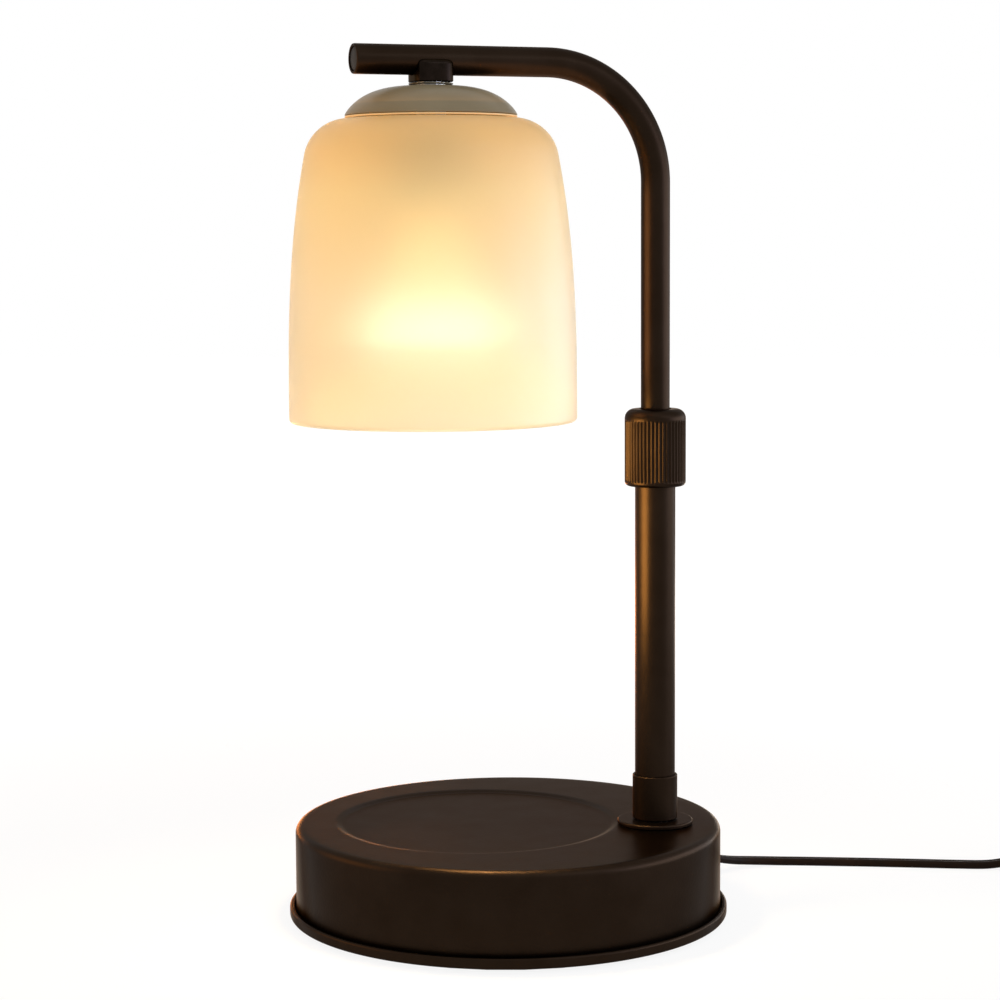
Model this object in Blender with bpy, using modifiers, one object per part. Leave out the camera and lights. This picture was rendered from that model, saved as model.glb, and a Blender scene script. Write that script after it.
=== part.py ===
"""Candle warmer lamp.

A weighted drum base carries a telescoping post with a knurled lock collar.
The bent arm slides and turns in the post, and hangs a frosted glass shade with a
reflector bulb over the shallow rest in the base. A flat mains cord leaves the base,
passes an inline rotary dimmer, and is put away in a tied coil with its plug.

Frame: metres, +Z up, origin at the middle of the base on the surface it stands on.
The post stands on +X. The arm's own frame has its +X along the arm.
"""
import math

import bmesh
import bpy
import numpy as np
from mathutils import Matrix, Vector

# Fits and finishing, shared by all pieces
SEAT_GAP = 0.0003        # between pieces that rest on each other
FIT_GAP = 0.0002         # radial, between a piece and the socket that holds it
RUN_GAP = 0.00025        # radial, between pieces that slide or turn
OVERRUN = 0.0020         # how far a cutter runs past what it cuts
MERGE_DISTANCE = 0.00001
FACETS_LARGE = 36
FACETS_MEDIUM = 24
FACETS_SMALL = 16
FACETS_TINY = 12
SHARP_ANGLE = math.radians(32)

# Base drum, pressed from steel sheet
BASE_RADIUS = 0.0750
BASE_HEIGHT = 0.0337
BASE_EDGE = 0.0028
BASE_SHEET = 0.0012
RECESS_BORDER = 0.0280   # from the drum's rim in to the rest's rim, on average
RECESS_DEPTH = 0.0008
RECESS_SLOPE = 0.0034
RECESS_OFFSET = 0.0110   # recess centre behind the base centre, away from the post

# Bottom plate with its hemmed lip, foam foot pad and counterweight
PAD_BORDER = 0.0058      # from the plate's rim in to the pad's
PAD_THICKNESS = 0.0012
LIP_CLEARANCE = 0.0004   # radial, between the drum and the lip round it
PLATE_SHEET = 0.0012
PLATE_EDGE = 0.0011
LIP_RISE = 0.0039
LIP_WIDTH = 0.0019
WEIGHT_CLEARANCE = 0.0033  # radial, between the weight and the drum's wall
WEIGHT_THICKNESS = 0.0070
WEIGHT_EDGE = 0.0008

# Pillars under the drum's top, and the screws that hold the plate to them
PILLAR_COUNT = 3
PILLAR_FIRST_ANGLE = math.radians(100)
PILLAR_INSET = 0.0110    # from the drum's rim in to the pillars' axes
PILLAR_RADIUS = 0.0045
PILLAR_NECK = 0.0030
SCREW_RADIUS = 0.0015
SCREW_HEAD_RADIUS = 0.0030
SCREW_HEAD_HEIGHT = 0.0009
SCREW_LENGTH = 0.0100
PAD_HOLE_RADIUS = 0.0037

# Post: threaded nipple, nut and washer in the base, disc, ferrule and lower tube
POST_INSET = 0.0230      # from the drum's rim in to the post's axis
NIPPLE_RADIUS = 0.0050
NIPPLE_BORE = 0.0035
NIPPLE_DROP = 0.0105     # below the underside of the drum's top
NUT_ACROSS_FLATS = 0.0150
NUT_THICKNESS = 0.0045
NUT_CHAMFER = 0.0006
WASHER_RADIUS = 0.0085
WASHER_THICKNESS = 0.0009
DISC_RADIUS = 0.0132
DISC_THICKNESS = 0.0015
DISC_EDGE = 0.0006
FERRULE_RADIUS = 0.00785
FERRULE_LENGTH = 0.0157
FERRULE_WEB = 0.0035
FERRULE_EDGE = 0.0004
LOWER_TUBE_RADIUS = 0.0070
LOWER_TUBE_WALL = 0.0009
LOWER_TUBE_LENGTH = 0.1264

# Split collet in the mouth of the lower tube
COLLET_RADIUS = 0.0074
COLLET_FLANGE = 0.0035
COLLET_CONE = 0.0065
COLLET_TIP_RADIUS = 0.0061
COLLET_SPIGOT = 0.0060
COLLET_SLOT = 0.0008

# Knurled lock collar over the collet
COLLAR_RADIUS = 0.0106
COLLAR_HEIGHT = 0.0268
COLLAR_LAP = 0.0130      # how far the collar reaches down over the lower tube
COLLAR_WEB = 0.0032
COLLAR_SHOULDER = 0.0033
COLLAR_FOOT = 0.0016
RIB_COUNT = 48
RIB_DEPTH = 0.00045
RIB_RUNOUT = 0.0006

# Upper tube with its bend: the arm
TUBE_RADIUS = 0.0050
TUBE_WALL = 0.0010
TUBE_INSERT = 0.0675     # length inside the lower tube at rest
ARM_RISE = 0.1315        # from the lower tube's top to the arm's axis, at rest
BEND_RADIUS = 0.0400
ARM_REACH = 0.0815       # from the post's axis to the head's axis
ARM_TAIL = 0.0270        # from the head's axis to the arm's end
ARM_SWING = math.radians(207)
LEAD_HOLE = 0.0030
PLUG_LENGTH = 0.0060
PLUG_INSET = 0.0003
BEND_STEPS = 8

# Guide bush on the arm's lower end, between a rolled bead and a snap ring
BUSH_LENGTH = 0.0120
BUSH_RISE = 0.0025
BEAD_RADIUS = 0.0056
BEAD_HEIGHT = 0.0010
SNAP_RADIUS = 0.0057
SNAP_THICKNESS = 0.0009
SNAP_OPENING = 0.0030

# Neck, washer and threaded neck tube under the arm
NECK_HALF_LENGTH = 0.0072  # along the arm
NECK_HALF_WIDTH = 0.0076   # across the arm
NECK_SQUARENESS = 3.0      # 2 is an oval, more is squarer
NECK_BELOW = 0.0073        # below the arm's axis, where its top lies
NECK_EDGE = 0.0016
NECK_EDGE_STEPS = 3
NECK_WASHER_RADIUS = 0.0076
NECK_WASHER_THICKNESS = 0.0004

# Dome canopy, gasket and glass shade
DOME_RADIUS = 0.0286
DOME_RISE = 0.0097
DOME_SHEET = 0.0008
DOME_POWER = 3.4
DOME_ROUND = 0.8
DOME_STEPS = 7
GASKET_WIDTH = 0.0020
GASKET_THICKNESS = 0.0005
SHADE_HEIGHT = 0.1005
SHADE_RIM_RADIUS = 0.0482
SHADE_TOP_RADIUS = 0.0421
SHADE_SHOULDER = 0.0122
SHADE_WALL = 0.0028
SHADE_HOLE_RADIUS = 0.0110
SHADE_LIP = 0.0006
SHADE_FLARE_POWER = 2.8
SHADE_WALL_STEPS = 4
SHADE_SHOULDER_STEPS = 4

# Clamp under the glass, and the lamp holder
SEAT_RING_RADIUS = 0.0180
SEAT_RING_THICKNESS = 0.0008
CLAMP_WASHER_RADIUS = 0.0170
CLAMP_WASHER_THICKNESS = 0.0012
CLAMP_NUT_THICKNESS = 0.0040
CUP_RADIUS = 0.0146
CUP_SHEET = 0.0008
CUP_HEIGHT = 0.0150
CUP_COLLAR_RADIUS = 0.0066
CUP_COLLAR_DROP = 0.0030
HOLDER_RADIUS = 0.0136
HOLDER_HEIGHT = 0.0120
HOLDER_EDGE = 0.0008
SOCKET_RADIUS = 0.0028
SOCKET_DEPTH = 0.0070

# Reflector bulb with its lens, capsule and two pins
BULB_RADIUS = 0.0250
BULB_LENGTH = 0.0490
BULB_RIM_HEIGHT = 0.0030
BULB_BOWL_HEIGHT = 0.0270
BULB_NECK_RADIUS = 0.0105
BULB_NECK_EDGE = 0.0020
BULB_WALL = 0.0015
BULB_BOWL_STEPS = 4
CAPSULE_RADIUS = 0.0045
CAPSULE_LENGTH = 0.0180
CAPSULE_SEAT = 0.0050
LENS_THICKNESS = 0.0016
LENS_CROWN = 0.0006
PIN_RADIUS = 0.0012
PIN_HEAD_RADIUS = 0.0023
PIN_HEAD_HEIGHT = 0.0015
PIN_LENGTH = 0.0044
PIN_SPACING = 0.0100

# Flat twin mains cord, its strain relief and the terminal block
CORD_WIDTH = 0.0053
CORD_THICKNESS = 0.0028
CORD_LIFT = 0.0001       # above the surface that it lies on
CORD_POINT_SPACING = 0.0100
CABLE_ANGLE = math.radians(42)
CABLE_LEVEL = 0.0086
CABLE_SLOT = 0.0200
CABLE_SLOT_DEPTH = 0.0360  # from the drum's rim in to the slot's end
RELIEF_FLAT_SHARE = 0.55
RELIEF_FLANGE_RADIUS = 0.0055
RELIEF_FLANGE = 0.0018
RELIEF_NECK_RADIUS = 0.0042
RELIEF_COLLAR_RADIUS = 0.0051
RELIEF_COLLAR = 0.0016
RELIEF_TAIL_RADIUS = 0.0046
RELIEF_TIP_RADIUS = 0.0036
RELIEF_TAIL = 0.0190
RELIEF_DROOP = math.radians(16)
RELIEF_GROOVE = 0.0006
RELIEF_GROOVES = 4
BLOCK_INSET = 0.0250     # from the drum's rim in to the block's middle
BLOCK_LENGTH = 0.0180
BLOCK_WIDTH = 0.0160
BLOCK_HEIGHT = 0.0120
BLOCK_EDGE = 0.0008
TURRET_RADIUS = 0.0028
TURRET_RISE = 0.0030
TURRET_BORE = 0.0016

# Lead inside the lamp: a thin round cable
LEAD_RADIUS = 0.0015
LEAD_POINT_SPACING = 0.0060
LEAD_RISE = 0.0030       # above the ferrule's web
SLACK_RADIUS = 0.0038
SLACK_TURNS = 2.5
SLACK_POINTS_PER_TURN = 8
LEAD_TURN_RADIUS = 0.0040

# Inline rotary dimmer, lying on the surface behind the lamp's right side
DIMMER_PLACE = (0.2270, 0.0795, 0.0)
DIMMER_LENGTH = 0.0620
DIMMER_WIDTH = 0.0300
DIMMER_HEIGHT = 0.0190
DIMMER_SPLIT = 0.0095
DIMMER_ROUND = 0.0125    # corner radius of its outline
DIMMER_EDGE = 0.0026
DIMMER_WALL = 0.0018
DIMMER_CAVITY = 0.0380
CORD_ENTRY_LEVEL = 0.0050
DIAL_RADIUS = 0.0098
DIAL_HEIGHT = 0.0056
DIAL_SUNK = 0.0016
DIAL_EDGE = 0.0009
DIAL_RIB_COUNT = 20
DIAL_RIB_DEPTH = 0.0005
DIAL_STEM_RADIUS = 0.0028
DIAL_MARK_WIDTH = 0.0012
DIAL_MARK_LENGTH = 0.0050
DIAL_MARK_DEPTH = 0.0005
BOARD_LENGTH = 0.0330
BOARD_WIDTH = 0.0200
BOARD_THICKNESS = 0.0016
POT_SIZE = 0.0120
POT_HEIGHT = 0.0045
DIMMER_SCREW_SPACING = 0.0480
DIMMER_SCREW_RADIUS = 0.0012
DIMMER_SCREW_HEAD_RADIUS = 0.0024
DIMMER_SCREW_HEAD_HEIGHT = 0.0014
DIMMER_SCREW_LENGTH = 0.0100
DIMMER_SCREW_SINK = 0.0006

# Coil of put-away cord with its tie, and the plug
COIL_PLACE = (0.2466, 0.0220, 0.0)
COIL_INNER_RADIUS = 0.0240
COIL_PITCH = 0.0058
COIL_LAYER_RISE = 0.0034
COIL_TURNS_PER_LAYER = 3
COIL_DIP = 0.0019
COIL_CLIMB_TURNS = 0.18
COIL_SOFT_TURNS = 0.06
COIL_POINTS_PER_TURN = 24
TIE_THICKNESS = 0.0005
TIE_WIDTH = 0.0080
TIE_SLACK = 0.0008
PLUG_PLACE = (0.2880, -0.0223, 0.0)
PLUG_LEVEL = 0.0070
PLUG_BODY_LENGTH = 0.0386
PLUG_HALF_WIDTH = 0.0125
PLUG_HALF_HEIGHT = 0.0069
PLUG_TAIL_HALF_WIDTH = 0.0036
PLUG_TAIL_HALF_HEIGHT = 0.0025
PLUG_TAIL_SHARE = 0.30
BLADE_LENGTH = 0.0165
BLADE_WIDTH = 0.00635
BLADE_THICKNESS = 0.0015
BLADE_SPACING = 0.0127
BLADE_HOLE_RADIUS = 0.0016
BLADE_HOLE_INSET = 0.0045
BLADE_CORNER = 0.0014

# Places that follow from the drum's radius
RECESS_RADIUS = BASE_RADIUS - RECESS_BORDER
PLATE_RADIUS = BASE_RADIUS + LIP_CLEARANCE + LIP_WIDTH
PAD_RADIUS = PLATE_RADIUS - PAD_BORDER
WEIGHT_RADIUS = BASE_RADIUS - BASE_SHEET - WEIGHT_CLEARANCE
PILLAR_CIRCLE = BASE_RADIUS - PILLAR_INSET
POST_OFFSET = BASE_RADIUS - POST_INSET
CABLE_SLOT_END = BASE_RADIUS - CABLE_SLOT_DEPTH
BLOCK_CENTRE = BASE_RADIUS - BLOCK_INSET
BLOCK_INNER_END = BLOCK_CENTRE - BLOCK_LENGTH / 2

# Heights that follow from the sizes above
PLATE_BOTTOM = PAD_THICKNESS + SEAT_GAP
PLATE_TOP = PLATE_BOTTOM + PLATE_SHEET
SHELL_BOTTOM = PLATE_TOP + SEAT_GAP
WEIGHT_BOTTOM = PLATE_TOP + SEAT_GAP
WEIGHT_TOP = WEIGHT_BOTTOM + WEIGHT_THICKNESS
SHELL_UNDERSIDE = BASE_HEIGHT - BASE_SHEET
DISC_BOTTOM = BASE_HEIGHT + SEAT_GAP
FERRULE_BOTTOM = DISC_BOTTOM + DISC_THICKNESS + SEAT_GAP
WEB_TOP = FERRULE_BOTTOM + FERRULE_WEB
LOWER_TUBE_BOTTOM = WEB_TOP + SEAT_GAP
LOWER_TUBE_TOP = LOWER_TUBE_BOTTOM + LOWER_TUBE_LENGTH
LOWER_TUBE_BORE = LOWER_TUBE_RADIUS - LOWER_TUBE_WALL
COLLAR_BOTTOM = LOWER_TUBE_TOP - COLLAR_LAP
COLLAR_TOP = COLLAR_BOTTOM + COLLAR_HEIGHT
COLLET_BOTTOM = LOWER_TUBE_TOP + SEAT_GAP
COLLET_CONE_BOTTOM = COLLET_BOTTOM + COLLET_FLANGE
COLLET_TOP = COLLET_CONE_BOTTOM + COLLET_CONE
TUBE_BORE = TUBE_RADIUS - TUBE_WALL
TUBE_END = LOWER_TUBE_TOP - TUBE_INSERT
ARM_LEVEL = LOWER_TUBE_TOP + ARM_RISE
BUSH_BOTTOM = TUBE_END + BUSH_RISE
BUSH_TOP = BUSH_BOTTOM + BUSH_LENGTH
NECK_BOTTOM = ARM_LEVEL - NECK_BELOW
NECK_WASHER_TOP = NECK_BOTTOM - SEAT_GAP
DOME_TOP = NECK_WASHER_TOP - NECK_WASHER_THICKNESS - SEAT_GAP
DOME_EDGE_LEVEL = DOME_TOP - DOME_RISE
GASKET_TOP = DOME_EDGE_LEVEL - SEAT_GAP
SHADE_TOP = GASKET_TOP - GASKET_THICKNESS - SEAT_GAP
SHADE_RIM_LEVEL = SHADE_TOP - SHADE_HEIGHT
SEAT_RING_TOP = SHADE_TOP - SHADE_WALL - SEAT_GAP
CLAMP_WASHER_TOP = SEAT_RING_TOP - SEAT_RING_THICKNESS - SEAT_GAP
CLAMP_NUT_TOP = CLAMP_WASHER_TOP - CLAMP_WASHER_THICKNESS - SEAT_GAP
CUP_TOP = CLAMP_NUT_TOP - CLAMP_NUT_THICKNESS - SEAT_GAP
CUP_COLLAR_BOTTOM = CUP_TOP - CUP_SHEET - CUP_COLLAR_DROP
HOLDER_TOP = CUP_COLLAR_BOTTOM - SEAT_GAP
HOLDER_BOTTOM = HOLDER_TOP - HOLDER_HEIGHT
BULB_TOP = HOLDER_BOTTOM - SEAT_GAP
BULB_BOTTOM = BULB_TOP - BULB_LENGTH
LEAD_TOP_OF_BASE = WEB_TOP + LEAD_RISE
CORD_LIE = CORD_THICKNESS / 2 + CORD_LIFT
COIL_LIE = TIE_THICKNESS + SEAT_GAP + CORD_THICKNESS / 2

# Routes of the flat cord's free stretches, chosen by hand for a drum of this radius. With
# another drum the whole cord set moves along with the place where it leaves the rim.
ROUTE_DRUM_RADIUS = 0.0750
LAMP_CORD_ROUTE = [
    (0.0714, 0.0643, 0.0058), (0.0751, 0.0677, 0.0045), (0.0793, 0.0713, 0.0034),
    (0.0842, 0.0746, 0.0026), (0.0900, 0.0772, 0.0020), (0.0970, 0.0789, 0.0016),
    (0.1050, 0.0796, 0.0015), (0.1280, 0.0799, 0.0015), (0.1460, 0.0798, 0.0015),
    (0.1620, 0.0796, 0.0015), (0.1740, 0.0795, 0.0017), (0.1820, 0.0795, 0.0030),
    (0.1875, 0.0795, 0.0045), (0.1904, 0.0795, 0.0050), (0.1957, 0.0795, 0.0050),
]
COIL_LEAD_ROUTE = [
    (0.2583, 0.0795, 0.0050), (0.2636, 0.0795, 0.0049), (0.2695, 0.0783, 0.0038),
    (0.2760, 0.0750, 0.0027), (0.2814, 0.0702, 0.0023), (0.2854, 0.0640, 0.0022),
    (0.2874, 0.0565, 0.0022), (0.2880, 0.0480, 0.0022), (0.2880, 0.0400, 0.0022),
    (0.2880, 0.0329, 0.0022), (0.2880, 0.0276, 0.0022),
]
PLUG_LEAD_ROUTE = [
    (0.2880, 0.0164, 0.0056), (0.2880, 0.0111, 0.0056), (0.2880, 0.0050, 0.0055),
    (0.2880, -0.0020, 0.0057), (0.2880, -0.0100, 0.0065), (0.2880, -0.0167, 0.0070),
    (0.2880, -0.0220, 0.0070),
]
# The inner lead from the terminal block to the post: how far it bows away from the straight
# line between them, and its heights
BASE_LEAD_BOW = [
    (-0.0003, -0.0002, 0.0126), (-0.0058, -0.0005, 0.0127), (-0.0105, -0.0011, 0.0130),
    (-0.0134, -0.0027, 0.0133), (-0.0144, -0.0047, 0.0136), (-0.0127, -0.0065, 0.0139),
    (-0.0089, -0.0075, 0.0141), (-0.0045, -0.0070, 0.0144), (-0.0009, -0.0053, 0.0156),
    (0.0007, -0.0027, 0.0185), (-0.0001, 0.0000, 0.0225),
]


def clear_scene():
    """Empty the scene of objects."""
    for obj in list(bpy.data.objects):
        bpy.data.objects.remove(obj, do_unlink=True)


clear_scene()
PARTS = bpy.data.collections.new("candle_warmer_lamp")
CUTTERS = bpy.data.collections.new("cutters_and_guides")
bpy.context.scene.collection.children.link(PARTS)
bpy.context.scene.collection.children.link(CUTTERS)


def finish(name, colour, roughness, metallic=0.0, alpha=1.0):
    """A Principled material in the part's own colour."""
    material = bpy.data.materials.new(name)
    material.use_nodes = True
    shader = material.node_tree.nodes["Principled BSDF"]
    shader.inputs["Base Color"].default_value = (*colour, 1.0)
    shader.inputs["Roughness"].default_value = roughness
    shader.inputs["Metallic"].default_value = metallic
    shader.inputs["Alpha"].default_value = alpha
    return material


BLACK_PAINT = finish("satin_black_paint", (0.016, 0.013, 0.011), 0.42)
DOME_ENAMEL = finish("taupe_gloss_enamel", (0.24, 0.20, 0.15), 0.22)
FROSTED_GLASS = finish("frosted_glass", (0.90, 0.80, 0.62), 0.55, alpha=0.9)
CLEAR_GLASS = finish("clear_glass", (0.95, 0.95, 0.92), 0.08, alpha=0.4)
ZINC_STEEL = finish("zinc_plated_steel", (0.55, 0.55, 0.53), 0.35, 1.0)
CAST_IRON = finish("cast_iron", (0.05, 0.05, 0.05), 0.75, 0.6)
FOAM = finish("black_eva_foam", (0.02, 0.02, 0.02), 0.95)
NYLON = finish("natural_nylon", (0.65, 0.62, 0.55), 0.5)
SILICONE = finish("clear_silicone", (0.75, 0.73, 0.68), 0.45)
FIBRE = finish("grey_fibre_board", (0.22, 0.20, 0.18), 0.9)
CERAMIC = finish("white_steatite", (0.80, 0.78, 0.73), 0.4)
DARK_PVC = finish("dark_brown_pvc", (0.020, 0.014, 0.011), 0.5)
LEAD_PVC = finish("white_silicone_lead", (0.7, 0.7, 0.68), 0.5)
HOUSING = finish("black_abs", (0.014, 0.013, 0.012), 0.45)
BRASS = finish("brass", (0.62, 0.48, 0.22), 0.3, 1.0)
BOARD = finish("green_circuit_board", (0.02, 0.10, 0.04), 0.5)


def add_object(name, data, material=None, parent=None, cutter=False):
    """Link a named object to the parts, or to the cutters and guides."""
    obj = bpy.data.objects.new(name, data)
    (CUTTERS if cutter else PARTS).objects.link(obj)
    if material is not None:
        data.materials.append(material)
    if parent is not None:
        obj.parent = parent
    if cutter:
        obj.hide_render = True
        obj.display_type = "WIRE"
    return obj


def frame_at(name, place, turn=0.0, parent=None):
    """An empty that carries the pieces of one frame."""
    empty = bpy.data.objects.new(name, None)
    PARTS.objects.link(empty)
    empty.location = place
    empty.rotation_euler = (0.0, 0.0, turn)
    empty.parent = parent
    return empty


POST_FRAME = frame_at("post_axis", (POST_OFFSET, 0.0, 0.0))
ARM_FRAME = frame_at("arm_axis", (POST_OFFSET, 0.0, 0.0), ARM_SWING)
HEAD_FRAME = frame_at("head_axis", (ARM_REACH, 0.0, 0.0), parent=ARM_FRAME)
CABLE_FRAME = frame_at("cable_exit", (0.0, 0.0, 0.0), CABLE_ANGLE)
CORD_SHIFT = BASE_RADIUS - ROUTE_DRUM_RADIUS
CORD_FRAME = frame_at("cord_set", (CORD_SHIFT * math.cos(CABLE_ANGLE), CORD_SHIFT * math.sin(CABLE_ANGLE), 0.0))
DIMMER_FRAME = frame_at("dimmer_axis", DIMMER_PLACE, parent=CORD_FRAME)
COIL_FRAME = frame_at("coil_axis", COIL_PLACE, parent=CORD_FRAME)
PLUG_FRAME = frame_at("plug_axis", PLUG_PLACE, math.radians(-90), CORD_FRAME)


def rounded(corners, steps=3, closed=True):
    """Outline points from corners (x, y, radius), each corner rounded by a tangent arc."""
    points = []
    count = len(corners)
    for i, (x, y, radius) in enumerate(corners):
        here = np.array((x, y))
        end = not closed and i in (0, count - 1)
        if radius == 0 or end:
            points.append((x, y))
            continue
        before = np.array(corners[i - 1][:2]) - here
        after = np.array(corners[(i + 1) % count][:2]) - here
        before = before / np.linalg.norm(before)
        after = after / np.linalg.norm(after)
        half = math.acos(max(-1.0, min(1.0, float(before @ after)))) / 2
        centre = here + (before + after) / np.linalg.norm(before + after) * radius / math.sin(half)
        start = here + before * radius / math.tan(half) - centre
        stop = here + after * radius / math.tan(half) - centre
        first = math.atan2(start[1], start[0])
        sweep = (math.atan2(stop[1], stop[0]) - first + math.pi) % (2 * math.pi) - math.pi
        for k in range(steps + 1):
            angle = first + sweep * k / steps
            points.append((centre[0] + radius * math.cos(angle), centre[1] + radius * math.sin(angle)))
    return points


def turned(name, outline, facets, material=None, parent=None, closed=True, cutter=False):
    """Turn an outline (radius, height) round Z. It runs down its outer side, top to bottom."""
    mesh = bpy.data.meshes.new(name)
    vertices = [(radius, 0.0, height) for radius, height in outline]
    edges = [(i, i + 1) for i in range(len(vertices) - 1)]
    if closed:
        edges.append((len(vertices) - 1, 0))
    mesh.from_pydata(vertices, edges, [])
    obj = add_object(name, mesh, material, parent, cutter)
    screw = obj.modifiers.new("turn", "SCREW")
    screw.axis = "Z"
    screw.steps = facets
    screw.render_steps = facets
    screw.use_smooth_shade = True
    screw.use_merge_vertices = True
    screw.merge_threshold = MERGE_DISTANCE
    return obj


def shell(obj, thickness):
    """Give an open surface a wall on its inner side."""
    solidify = obj.modifiers.new("wall", "SOLIDIFY")
    solidify.thickness = thickness
    solidify.offset = -1.0
    solidify.use_even_offset = True
    return obj


def boolean(obj, tool, operation="DIFFERENCE"):
    """Cut obj with tool, or join tool to it."""
    modifier = obj.modifiers.new(tool.name, "BOOLEAN")
    modifier.operation = operation
    modifier.object = tool
    return obj


def bmesh_object(name, build, material=None, parent=None, cutter=False):
    """An object from a function that fills a bmesh."""
    mesh = bpy.data.meshes.new(name)
    work = bmesh.new()
    build(work)
    bmesh.ops.recalc_face_normals(work, faces=work.faces)
    work.to_mesh(mesh)
    work.free()
    return add_object(name, mesh, material, parent, cutter)


def bar(name, radius, low, high, facets=FACETS_SMALL, places=((0.0, 0.0),), axis="Z", squash=1.0, **kinds):
    """Round bars from low to high along an axis, one at each place across it."""

    def build(work):
        for place in places:
            ring = bmesh.ops.create_cone(
                work, cap_ends=True, segments=facets, radius1=radius, radius2=radius, depth=high - low
            )["verts"]
            bmesh.ops.translate(work, verts=ring, vec=(0.0, 0.0, (high + low) / 2))
            if axis == "X":
                bmesh.ops.rotate(work, verts=ring, matrix=Matrix.Rotation(math.pi / 2, 3, "Y"))
                bmesh.ops.scale(work, verts=ring, vec=(1.0, 1.0, squash))
                bmesh.ops.translate(work, verts=ring, vec=(0.0, place[0], place[1]))
            else:
                bmesh.ops.translate(work, verts=ring, vec=(place[0], place[1], 0.0))

    return bmesh_object(name, build, **kinds)


def block(name, low, high, **kinds):
    """A box between two corners."""

    def build(work):
        corners = bmesh.ops.create_cube(work, size=1.0)["verts"]
        size = [b - a for a, b in zip(low, high)]
        middle = [(a + b) / 2 for a, b in zip(low, high)]
        bmesh.ops.scale(work, verts=corners, vec=size)
        bmesh.ops.translate(work, verts=corners, vec=middle)

    return bmesh_object(name, build, **kinds)


def soften(obj, width, segments=1):
    """Round the sharp edges of a solid."""
    bevel = obj.modifiers.new("edges", "BEVEL")
    bevel.width = width
    bevel.segments = segments
    bevel.limit_method = "ANGLE"
    bevel.angle_limit = math.radians(50)
    return obj


def lofted(name, sections, **kinds):
    """A solid through closed sections that all have the same number of points."""

    def build(work):
        rings = [[work.verts.new(point) for point in section] for section in sections]
        for ring, following in zip(rings, rings[1:]):
            for i in range(len(ring)):
                j = (i + 1) % len(ring)
                work.faces.new((ring[i], ring[j], following[j], following[i]))
        work.faces.new(rings[0])
        work.faces.new(rings[-1])

    return bmesh_object(name, build, **kinds)


def drum_sections(rows, count, depth):
    """Sections of a knurled drum from rows (height, radius, rib share)."""
    sections = []
    for height, radius, share in rows:
        section = []
        for k in range(2 * count):
            angle = math.pi * k / count
            reach = radius - depth * share * (k % 2)
            section.append((reach * math.cos(angle), reach * math.sin(angle), height))
        sections.append(section)
    return sections


def arc_rows(centre_height, centre_radius, radius, first, last, steps):
    """Rows of a drum's rounded edge, along an arc in its profile."""
    rows = []
    for k in range(steps + 1):
        angle = first + (last - first) * k / steps
        rows.append((centre_height + radius * math.sin(angle), centre_radius + radius * math.cos(angle), 0.0))
    return rows


def smooth_route(route, spacing):
    """Points along a smooth curve through the route's own points; its first and last legs stay straight."""
    points = np.array(route, float)
    fine = []
    for a, b, c, d in zip(points, points[1:], points[2:], points[3:]):
        for t in np.linspace(0.0, 1.0, 12, endpoint=False):
            fine.append(
                0.5 * (
                    2 * b + (c - a) * t + (2 * a - 5 * b + 4 * c - d) * t**2 + (3 * b - a - 3 * c + d) * t**3
                )
            )
    fine = np.array(fine + [points[-2]])
    along = np.concatenate([[0.0], np.cumsum(np.linalg.norm(np.diff(fine, axis=0), axis=1))])
    at = np.linspace(0.0, along[-1], max(2, round(along[-1] / spacing) + 1))
    curve = np.stack([np.interp(at, along, fine[:, k]) for k in range(3)], axis=1)
    ends = np.linalg.norm(points[1] - points[0]) + np.linalg.norm(points[-1] - points[-2])
    return np.vstack([points[0], curve, points[-1]]), along[-1] + ends


def poly_curve(name, points, cyclic=False):
    """Curve data with one POLY spline through the points."""
    curve = bpy.data.curves.new(name, "CURVE")
    curve.dimensions = "3D"
    spline = curve.splines.new("POLY")
    spline.points.add(len(points) - 1)
    for point, place in zip(spline.points, points):
        point.co = (*place, 1.0)
    spline.use_cyclic_u = cyclic
    return curve


def mesh_of_curve(obj, material=None):
    """Make a curve object a mesh, with its caps welded on."""
    graph = bpy.context.evaluated_depsgraph_get()
    mesh = bpy.data.meshes.new_from_object(obj.evaluated_get(graph))
    work = bmesh.new()
    work.from_mesh(mesh)
    bmesh.ops.remove_doubles(work, verts=work.verts, dist=MERGE_DISTANCE)
    bmesh.ops.recalc_face_normals(work, faces=work.faces)
    work.to_mesh(mesh)
    work.free()
    name, parent, world = obj.name, obj.parent, obj.matrix_world.copy()
    home = obj.users_collection[0]
    hidden = obj.hide_render
    curve = obj.data
    bpy.data.objects.remove(obj)
    bpy.data.curves.remove(curve)
    made = bpy.data.objects.new(name, mesh)
    home.objects.link(made)
    if material is not None and not mesh.materials:
        mesh.materials.append(material)
    made.parent = parent
    made.matrix_world = world
    if hidden:
        made.hide_render = True
        made.display_type = "WIRE"
    return made


def round_tube(name, points, radius, resolution, material=None, parent=None, cutter=False):
    """A round tube along points, as a mesh with closed ends."""
    curve = poly_curve(name, points)
    curve.bevel_depth = radius
    curve.bevel_resolution = resolution
    curve.use_fill_caps = True
    obj = add_object(name, curve, material, parent, cutter)
    return mesh_of_curve(obj)


def cord_outline():
    """Section of the flat cord: two half rounds joined by flats."""
    radius = CORD_THICKNESS / 2
    reach = CORD_WIDTH / 2 - radius
    points = []
    for side, middle in ((1, 0.0), (-1, math.pi)):
        for step in (-1, 0, 1):
            angle = middle + step * math.pi / 2
            points.append((side * reach + radius * math.cos(angle), radius * math.sin(angle), 0.0))
    return points


def flat_cord(name, points, material, parent=None):
    """The flat cord along points, its broad side level."""
    section = add_object(name + "_section", poly_curve(name + "_section", cord_outline(), True), cutter=True)
    curve = poly_curve(name, points)
    curve.twist_mode = "Z_UP"
    curve.bevel_mode = "OBJECT"
    curve.bevel_object = section
    curve.use_fill_caps = True
    obj = add_object(name, curve, material, parent)
    made = mesh_of_curve(obj)
    return made


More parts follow.
